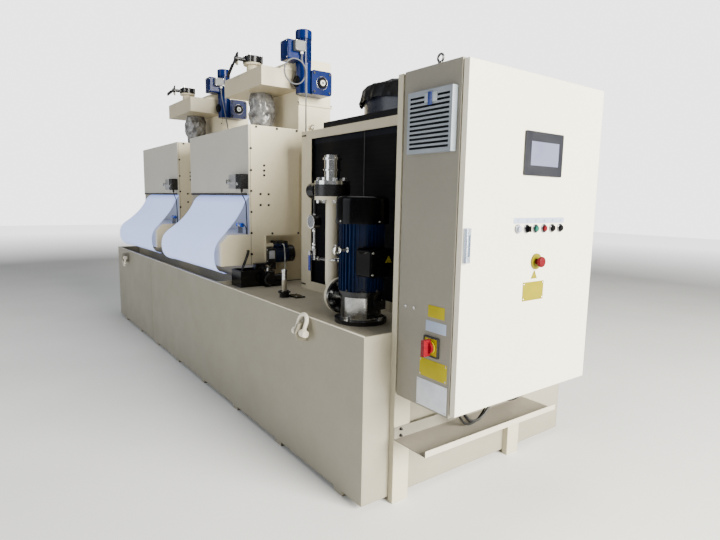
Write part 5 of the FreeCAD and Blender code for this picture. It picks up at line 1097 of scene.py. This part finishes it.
def bare_triangle(name, place, size, body):
    """A bare yellow triangle on a face that looks along x, with its point up."""
    bpy.ops.mesh.primitive_cylinder_add(vertices=3, radius=size, depth=0.0008, location=place,
                                        rotation=(math.pi / 2.0, 0.0, math.pi / 2.0))
    bpy.ops.object.transform_apply(location=True, rotation=True, scale=True)
    bpy.ops.object.mode_set(mode="EDIT")
    bpy.ops.mesh.select_all(action="SELECT")
    bpy.ops.mesh.bevel(offset=0.1 * size, segments=3, affect="EDGES")
    hand_over(name, yellow_darkened_in_light, body=body)


gloss_black = parts_finish("gloss black cover", GLOSS_BLACK, shine=0.08)
# A darker copy of the side plates' yellow: painted shade set against the strong light on the door and the
# pump's lit face.
yellow_darkened_in_light = plain_finish("yellow door plate", (0.21, 0.18, 0.0), (0.185, 0.157, 0.0), 0.45, patch=0.05,
                           shine=0.1)
dress(parts_finish("pump motor", PUMP_BLUE, (GLOSS_BLACK, [above(COWL_FOOT), TERMINAL_BOX]),
                   (STEEL, [EYE_BOSS, EYE_RING]), shine=0.12), "pump_motor")
dress(guard_finish(), "pump_head")
set_out(hex_head(0.016, 0.010), [standing((x, y, 0.692), UP, turn)
                                 for x, y, turn in ring_of(PUMP, 0.104, 4, 0.3)])
hand_over("pump_foot_nuts", bright_steel)
set_out(hex_head(0.010, 0.006), [standing((x, y, 0.816), UP, turn)
                                 for x, y, turn in ring_of(PUMP, 0.0935, 8, 0.2)])
hand_over("pump_crown_screws", black_screw)
set_out(button_head(0.0045, 0.003),
        [standing((x, y, 1.118), (math.cos(turn), math.sin(turn), 0.0))
         for x, y, turn in ring_of(PUMP, 0.115, 4, math.radians(-88.0))])
hand_over("pump_cowl_screws", bright_steel)
round_bar((*PUMP, 1.1665), 0.1162, 0.115, sides=96)
pick_end(UP)
bpy.ops.mesh.bevel(offset=0.026, segments=8, affect="EDGES")
hand_over("pump_cowl_dome", gloss_black, crease=50.0)
round_bar((*PUMP, 1.2242), 0.082, 0.0028, sides=48)
pick_end(UP)
for _ in range(COWL_RINGS):
    bpy.ops.mesh.inset(thickness=0.006)
    bpy.ops.mesh.extrude_region_move(TRANSFORM_OT_translate={"value": (0.0, 0.0, -0.002)})
    bpy.ops.mesh.inset(thickness=0.0055)
    bpy.ops.mesh.extrude_region_move(TRANSFORM_OT_translate={"value": (0.0, 0.0, 0.002)})
hand_over("pump_cowl_grille", gloss_black)
round_bar((1.986, -0.546, 0.997), 0.0075, 0.030, "Y", 16)
pick_end(TO_BACK)
bpy.ops.mesh.extrude_region_move(TRANSFORM_OT_translate={"value": (0.0, 0.004, 0.0)})
bpy.ops.transform.resize(value=(1.8, 1.0, 1.8))
hand_over("pump_eyebolt_shank", bright_steel)
wire_ring((1.989, -0.578, 0.997), (0.0, math.pi / 2.0, 0.25), 0.0185, 0.0065, 36, 14)
hand_over("pump_eyebolt_ring", bright_steel)
plate("pump_box_lid", (2.1235, -0.505, 0.894), (2.1275, -0.371, 1.002), gloss_black, 0.0015)
heads("pump_box_screws", 0.006, 0.003, [(2.1275, y, z) for y in (-0.496, -0.380) for z in (0.903, 0.993)],
      TO_CABINET, bright_steel)
bare_triangle("pump_bare_triangle", (2.1278, -0.414, 0.960), 0.020, "plant")
plate("pump_name_plate", (2.0605, -0.4345, 0.736), (2.0625, -0.3695, 0.778), black_screw,
      0.0006)
clamp = round_bar((*PUMP, 0.697), 0.0945, 0.008, sides=48)
pick_faces(lambda centre, normal: abs(normal.z) > 0.9)
bpy.ops.mesh.inset(thickness=0.0035)
bpy.ops.mesh.delete(type="FACE")
bpy.ops.object.mode_set(mode="OBJECT")
wall = clamp.modifiers.new("band", "SOLIDIFY")
wall.thickness = 0.0015
bpy.ops.object.modifier_apply(modifier="band")
hand_over("pump_guard_band", bright_steel)

# Discharge: a cream welded pipe from the pump's black port flange up to a black butterfly valve
# with its gearbox, and a polished hose coupling on top; hexagon screws hold every flange.
RISER = (1.726, -0.433)
PORT = (-0.433, 0.764)
FLANGE_CIRCLE = 0.064
FLANGE_SCREWS = 8
FIRST_SCREW = 0.39
GEARBOX = (1.548, -0.433, 1.248)
POLISHED = ((0.70, 0.70, 0.69), (0.58, 0.58, 0.57), 0.13, 1.0)
stainless = parts_finish("polished stainless", POLISHED, grain=0.05)
dress(powder_coat("pipe coat", (0.70, 0.645, 0.50), (0.63, 0.575, 0.44), gloss=0.35, edge=0.001),
      "discharge_pipe")
dress(parts_finish("butterfly valve", BLACK_CAST, grain=0.5, grain_size=0.003), "butterfly_valve")
dress(stainless, "hose_coupling")
flange_screws = []
for height, facing in ((1.292, 1.0), (1.204, -1.0)):
    flange_screws += [standing((x, y, height), (0.0, 0.0, facing), turn)
                      for x, y, turn in ring_of(RISER, FLANGE_CIRCLE, FLANGE_SCREWS, FIRST_SCREW)]
for z, y, turn in ring_of((PORT[1], PORT[0]), FLANGE_CIRCLE, FLANGE_SCREWS, FIRST_SCREW):
    flange_screws += [standing((1.791, y, z), FROM_CABINET, turn), standing((1.825, y, z), TO_CABINET, turn)]
set_out(hex_head(0.018, 0.011), flange_screws)
hand_over("flange_screws", bright_steel)
heads("valve_gearbox_screws", 0.005, 0.003,
      [(GEARBOX[0], y, z) for y, z, _ in ring_of(GEARBOX[1:], 0.030, 4, 0.785)], FROM_CABINET, bright_steel)
round_bar((GEARBOX[0] - 0.0015, *GEARBOX[1:]), 0.012, 0.004, "X", 20)
pick_end(FROM_CABINET)
bpy.ops.mesh.inset(thickness=0.004, depth=0.001)
hand_over("valve_gearbox_boss", cast_iron)

# Gauge line: stainless tube and fittings with a pressure gauge that faces the front, and a ball
# valve below it with a blue sleeved lever. The dial is pale with plain marks and a black needle.
GAUGE = (1.571, -0.451, 1.097)
LINE_AXIS = -0.433
LINE_STEEL = ((0.34, 0.34, 0.34), (0.16, 0.16, 0.17), 0.2, 1.0)
LEVER_BLUE = ((0.006, 0.026, 0.26), (0.005, 0.020, 0.20), 0.30, 0.0)
LINE_NUTS = ((1.052, 0.022), (0.985, 0.024), (0.968, 0.026), (0.924, 0.026), (0.912, 0.022))
FIRST_MARK = -135.0
MARK_PITCH = 22.5
MARKS = 13
gauge_middle = Vector(GAUGE)
dress(parts_finish("gauge line", LINE_STEEL, (BLACK_CAST, [above(1.136)]), grain=0.05), "gauge_line")
dress(parts_finish("blue lever sleeve", LEVER_BLUE, (STEEL, [above(0.931)])), "ball_valve_lever")
dial_pale = plain_finish("dial white", (0.20, 0.21, 0.23), (0.17, 0.18, 0.20), 0.4, patch=0.02)


def turned_on_dial(front, degrees):
    """The place of a mark in front of the dial, turned round its middle."""
    return (Matrix.Translation(gauge_middle - Vector((0.0, front, 0.0)))
            @ Matrix.Rotation(math.radians(degrees), 4, "Y"))


round_bar((GAUGE[0], GAUGE[1] - 0.003, GAUGE[2]), 0.034, 0.006, "Y", 48)
pick_end(TO_FRONT)
bpy.ops.mesh.inset(thickness=0.0045, depth=0.0)
bpy.ops.mesh.extrude_region_move(TRANSFORM_OT_translate={"value": (0.0, 0.0035, 0.0)})
hand_over("gauge_bezel", stainless)
round_bar((GAUGE[0], GAUGE[1] - 0.0031, GAUGE[2]), 0.0292, 0.0012, "Y", 48)
pick_end(TO_FRONT)
bpy.ops.mesh.inset(thickness=0.0008, depth=0.0001)
hand_over("gauge_dial", dial_pale)
mark = block((-0.0006, -0.0002, 0.0), (0.0006, 0.0002, 0.005))
round_edges(0.0001, 1)
bpy.ops.object.mode_set(mode="OBJECT")
set_out(mark, [turned_on_dial(0.0038, FIRST_MARK + MARK_PITCH * step) @ Matrix.Translation((0.0, 0.0, 0.0225))
               for step in range(MARKS)])
hand_over("gauge_marks", black_rubber)
needle = block((-0.0009, -0.0003, -0.006), (0.0009, 0.0003, 0.021))
pick_end(UP)
bpy.ops.transform.resize(value=(0.2, 1.0, 1.0))
bpy.ops.object.mode_set(mode="OBJECT")
set_out(needle, [turned_on_dial(0.0042, FIRST_MARK)])
hand_over("gauge_needle", black_rubber)
for number, (z, across) in enumerate(LINE_NUTS):
    round_bar((GAUGE[0], LINE_AXIS, z), across / FLATS_TO_CORNERS, 0.012, "Z", 6)
    round_edges(0.0012)
    hand_over(f"gauge_line_nut_{number}", stainless)
round_bar((1.612, LINE_AXIS, 0.917), 0.0125, 0.014, "X", 6)
round_edges(0.0012)
hand_over("gauge_link_nut", stainless)

# Control cabinet: sheet steel in a textured grey-beige coat, bolted to two cream posts that also
# hold the cable tray. Its door is a paler cream, and a black rubber seal shows as a dark line
# behind it. The side carries bare plates, held by small rivets.
CABINET_SIDE = -0.516
ROOF_EYE_FOOT = 1.6635
TRAY_LIP = 2.4902
EYE_STEEL = ((0.16, 0.16, 0.16), (0.06, 0.06, 0.06), 0.30, 0.8)
LIP_COAT = ((0.50, 0.46, 0.37), (0.46, 0.42, 0.335), 0.42, 0.0)
SEAL_DEPTH = (2.596, 2.5977)
SEAL_BARS = (("low", (-0.500, 0.481), (0.270, 0.490)), ("high", (-0.500, 1.640), (0.270, 1.649)),
             ("front", (-0.509, 0.481), (-0.500, 1.649)), ("back", (0.262, 0.481), (0.270, 1.649)))
post_coat = powder_coat("post coat", (0.50, 0.46, 0.345), (0.46, 0.42, 0.31), gloss=0.4)
cabinet_coat = powder_coat("textured cabinet coat", (0.215, 0.198, 0.158), (0.19, 0.175, 0.14), gloss=0.5,
                           grain=0.9)
door_coat = powder_coat("textured door coat", (0.74, 0.70, 0.575), (0.71, 0.67, 0.545), gloss=0.5, grain=0.9)
# The tray is painted darker than its cream lip: dust, and painted shade from the cabinet above it.
tray_dust_and_shade_coat = powder_coat("tray coat", (0.24, 0.22, 0.18), (0.19, 0.172, 0.138), gloss=0.45)
galvanised = plain_finish("galvanised plate", (0.50, 0.51, 0.51), (0.38, 0.39, 0.40), 0.45, metal=0.8,
                          patch=0.02)
sign_yellow = plain_finish("yellow plate", (0.38, 0.32, 0.0), (0.34, 0.28, 0.0), 0.45, patch=0.05, shine=0.15)
sign_white = plain_finish("white plate", (0.33, 0.39, 0.52), (0.30, 0.36, 0.48), 0.4, patch=0.05)
dress(post_coat, "cabinet_posts")
dress(zone_over(cabinet_coat, EYE_STEEL, above(ROOF_EYE_FOOT)), "cabinet_shell")
dress(zone_over(tray_dust_and_shade_coat, LIP_COAT, ((TRAY_LIP, None, None), (None, None, None))), "cable_tray")
dress(door_coat, "cabinet_door")
dress(galvanised, "mounting_plate")
for name, low, high in SEAL_BARS:
    plate(f"door_seal_{name}", (SEAL_DEPTH[0], *low), (SEAL_DEPTH[1], *high), black_rubber,
          0.0004)
set_out(hex_head(0.009, 0.006), [standing((2.3155, -0.484, z), TO_CABINET) for z in (0.312, 0.285)])
hand_over("tray_bolts", black_screw)
heads("cabinet_side_screws", 0.006, 0.003,
      [(x, CABINET_SIDE, z) for x, z in ((2.361, 0.818), (2.406, 0.820))], TO_FRONT, bright_steel)
for name, low, high, finish, slot in (
        ("label_yellow_high", (2.480, 0.802), (2.561, 0.845), sign_yellow, "yellow_plastic"),
        ("label_white", (2.471, 0.750), (2.571, 0.789), sign_white, "zinc"),
        ("plate_yellow_low", (2.446, 0.581), (2.582, 0.647), sign_yellow, "yellow_plastic"),
        ("plate_silver", (2.434, 0.468), (2.586, 0.568), silver_label, "zinc")):
    plate(f"bare_{name}", (low[0], CABINET_SIDE - 0.0012, low[1]), (high[0], CABINET_SIDE + 0.0002, high[1]),
          finish, 0.0005)
silver_corners = [(x, z) for x in (2.440, 2.580) for z in (0.475, 0.561)]
yellow_corners = [(x, z) for x in (2.451, 2.577) for z in (0.587, 0.641)]
heads("plate_rivets", 0.003, 0.0015,
      [(x, CABINET_SIDE - 0.0012, z) for x, z in silver_corners + yellow_corners], TO_FRONT, bright_steel)

# Side vent: a grey plastic filter grille that clips into the cabinet's side, its slots between the
# louvres painted near black as painted shade, with a small blue clip seated on its frame.
VENT_GREY = ((0.24, 0.27, 0.31), (0.20, 0.23, 0.26), 0.42, 0.0)
# Painted shade: the deep faces of the slots between the louvres are painted near black.
LOUVRE_PAINTED_SHADE = ((0.006, 0.007, 0.009), (0.012, 0.013, 0.015), 0.6, 0.0)
BETWEEN_LOUVRES = ((2.378, -0.5394, 1.383), (2.569, None, 1.5605))
blue_clip = plain_finish("blue clip", (0.006, 0.03, 0.20), (0.005, 0.022, 0.15), 0.35, patch=0.02)
clip_grey = plain_finish("vent grey", (0.34, 0.38, 0.42), (0.28, 0.32, 0.36), 0.42)
dress(parts_finish("vent grille", VENT_GREY, (LOUVRE_PAINTED_SHADE, [BETWEEN_LOUVRES])), "side_vent")
plate("vent_clip_seat", (2.452, -0.5425, 1.536), (2.512, -0.5395, 1.566), clip_grey, 0.0012)
plate("vent_clip", (2.471, -0.5455, 1.526), (2.490, -0.5420, 1.569), blue_clip, 0.0012)

# Door fittings: panel screen in a dark frame, a lamp and a row of buttons in chrome bezels under
# numbered legend plates, a red emergency stop on its yellow collar over a bare yellow triangle and
# plate, and a bright latch with its pocket.
DOOR_FACE = 2.621
BUTTON_ROW = (-0.226, -0.1742, -0.1224, -0.0706, -0.0188, 0.033)
BUTTON_HEIGHT = 1.114
LEGEND_HEIGHTS = (1.1335, 1.154)
LEGEND_HALF = 0.0252
NUMBER_FOOT = 1.1385
NUMBER_SIZE = 0.014
FRAME_GREY = ((0.007, 0.0075, 0.012), (0.009, 0.010, 0.015), 0.35, 0.0)
SCREEN_GREY = ((0.115, 0.122, 0.19), (0.13, 0.138, 0.205), 0.16, 0.0)
LATCH_METAL = ((0.50, 0.56, 0.66), (0.38, 0.44, 0.54), 0.25, 0.8)
LAMP_CLEAR = ((0.36, 0.39, 0.48), (0.28, 0.31, 0.40), 0.20, 0.0)
# The stop collar's yellow is a darker copy of the main switch plate's yellow: painted shade set against the
# door's strong light.
COLLAR_YELLOW_DARKENED_IN_LIGHT = ((0.18, 0.155, 0.0), (0.16, 0.135, 0.0), 0.35, 0.0)
SCREEN = ((2.60, -0.1785, 1.3415), (2.628, -0.0105, 1.4265))
LAMP = ((2.6225, -0.244, 1.096), (None, -0.208, 1.132))
STOP_COLLAR = ((2.6, -0.150, 0.945), (None, -0.062, 1.037))
green_cap = plain_finish("green button", (0.002, 0.085, 0.060), (0.002, 0.070, 0.050), 0.3, patch=0.02,
                         shine=0.15)
# The door's red is a darker copy of the main switch handle's red: painted shade set against the door's strong
# light.
red_darkened_in_light = plain_finish("red plastic", (0.11, 0.002, 0.006), (0.09, 0.0015, 0.005), 0.35, patch=0.02,
                       shine=0.1)
black_cap = plain_finish("black button", (0.002, 0.002, 0.0025), (0.004, 0.004, 0.005), 0.4, patch=0.02,
                         shine=0.06)
bezel_chrome = plain_finish("bezel chrome", (0.30, 0.30, 0.31), (0.22, 0.22, 0.23), 0.2, metal=0.9,
                            patch=0.02)
dress(parts_finish("panel screen", FRAME_GREY, (SCREEN_GREY, [SCREEN])), "hmi_panel")
dress(parts_finish("latch", LATCH_METAL), "door_latch")
dress(parts_finish("control units", FRAME_GREY, (LAMP_CLEAR, [LAMP]), (COLLAR_YELLOW_DARKENED_IN_LIGHT, [STOP_COLLAR]),
                   shine=0.15), "control_units")
dress(green_cap, "button_green")
dress(red_darkened_in_light, "button_red", "stop_head")
dress(black_cap, "button_black_left", "button_black_right", "selector_knob")
for number, y in enumerate(BUTTON_ROW):
    wire_ring((DOOR_FACE + 0.0025, y, BUTTON_HEIGHT), (0.0, math.pi / 2.0, 0.0), 0.0142, 0.0024, 40, 10)
    hand_over(f"button_bezel_{number}", bezel_chrome, body="cabinet_door")
    plate(f"legend_{number}", (DOOR_FACE - 0.0003, y - LEGEND_HALF, LEGEND_HEIGHTS[0]),
          (DOOR_FACE + 0.0008, y + LEGEND_HALF, LEGEND_HEIGHTS[1]), sign_white, 0.0004,
          "cabinet_door")
    bpy.ops.object.text_add(location=(DOOR_FACE + 0.0010, y, NUMBER_FOOT),
                            rotation=(math.pi / 2.0, 0.0, math.pi / 2.0))
    number_text = bpy.context.object
    number_text.data.body = str(number + 1)
    number_text.data.align_x = "CENTER"
    number_text.data.size = NUMBER_SIZE
    bpy.ops.object.convert(target="MESH")
    hand_over(f"legend_number_{number}", black_rubber, body="cabinet_door")
plate("door_yellow_plate", (DOOR_FACE - 0.0003, -0.176, 0.844), (DOOR_FACE + 0.0010, -0.049, 0.915),
      yellow_darkened_in_light, 0.0005, "cabinet_door")
bare_triangle("door_bare_triangle", (DOOR_FACE + 0.0003, -0.112, 0.937), 0.021, "cabinet_door")
heads("door_plate_rivets", 0.0028, 0.0014,
      [(DOOR_FACE + 0.001, y, z) for y in (-0.169, -0.056) for z in (0.851, 0.908)], TO_CABINET, bright_steel,
      "cabinet_door")

# Main switch on the cabinet's side: a red handle over a yellow plate in a black frame, which a
# hinge lets turn a quarter.
SWITCH = (2.505, 0.697)
SWITCH_HALF = 0.0365
SWITCH_OPENING = 0.031
SWITCH_DEPTH = (-0.5245, -0.5158)
SWITCH_YELLOW = ((0.44, 0.33, 0.0), (0.40, 0.30, 0.0), 0.30, 0.0)
FRAME_BARS = (("top", (-SWITCH_HALF, SWITCH_OPENING), (SWITCH_HALF, SWITCH_HALF)),
              ("foot", (-SWITCH_HALF, -SWITCH_HALF), (SWITCH_HALF, -SWITCH_OPENING)),
              ("left", (-SWITCH_HALF, -SWITCH_OPENING), (-SWITCH_OPENING, SWITCH_OPENING)),
              ("right", (SWITCH_OPENING, -SWITCH_OPENING), (SWITCH_HALF, SWITCH_OPENING)))
red_handle = plain_finish("red handle", (0.21, 0.004, 0.012), (0.17, 0.003, 0.009), 0.3, patch=0.02,
                          shine=0.25)
dress(red_handle, "main_switch_handle")
dress(parts_finish("main switch plate", SWITCH_YELLOW, shine=0.2), "main_switch_base")
for name, low, high in FRAME_BARS:
    plate(f"main_switch_frame_{name}", (SWITCH[0] + low[0], SWITCH_DEPTH[0], SWITCH[1] + low[1]),
          (SWITCH[0] + high[0], SWITCH_DEPTH[1], SWITCH[1] + high[1]), black_rubber, 0.0008)

# Cables: round plastic sheaths, black in the tray and on the pump, grey down the columns and pale
# on the paper drives. They are held along their whole way, so the CAD tubes only need their finish.
SHEATH_BLACK = ((0.014, 0.014, 0.015), (0.026, 0.026, 0.027), 0.42, 0.0)
SHEATH_GREY = ((0.12, 0.125, 0.14), (0.08, 0.085, 0.10), 0.45, 0.0)
SHEATH_PALE = ((0.50, 0.50, 0.49), (0.42, 0.42, 0.41), 0.45, 0.0)
COLUMN_CABLES = ((-0.70, -0.25, 0.70), (0.90, 0.10, 2.20))
DRIVE_CABLE = ((-0.10, -0.32, 0.675), (0.10, -0.20, 0.96))
dress(parts_finish("cable sheaths", SHEATH_BLACK, (SHEATH_GREY, [COLUMN_CABLES]),
                   (SHEATH_PALE, for_both(*DRIVE_CABLE))), "control_cables")

bpy.ops.object.select_all(action="DESELECT")
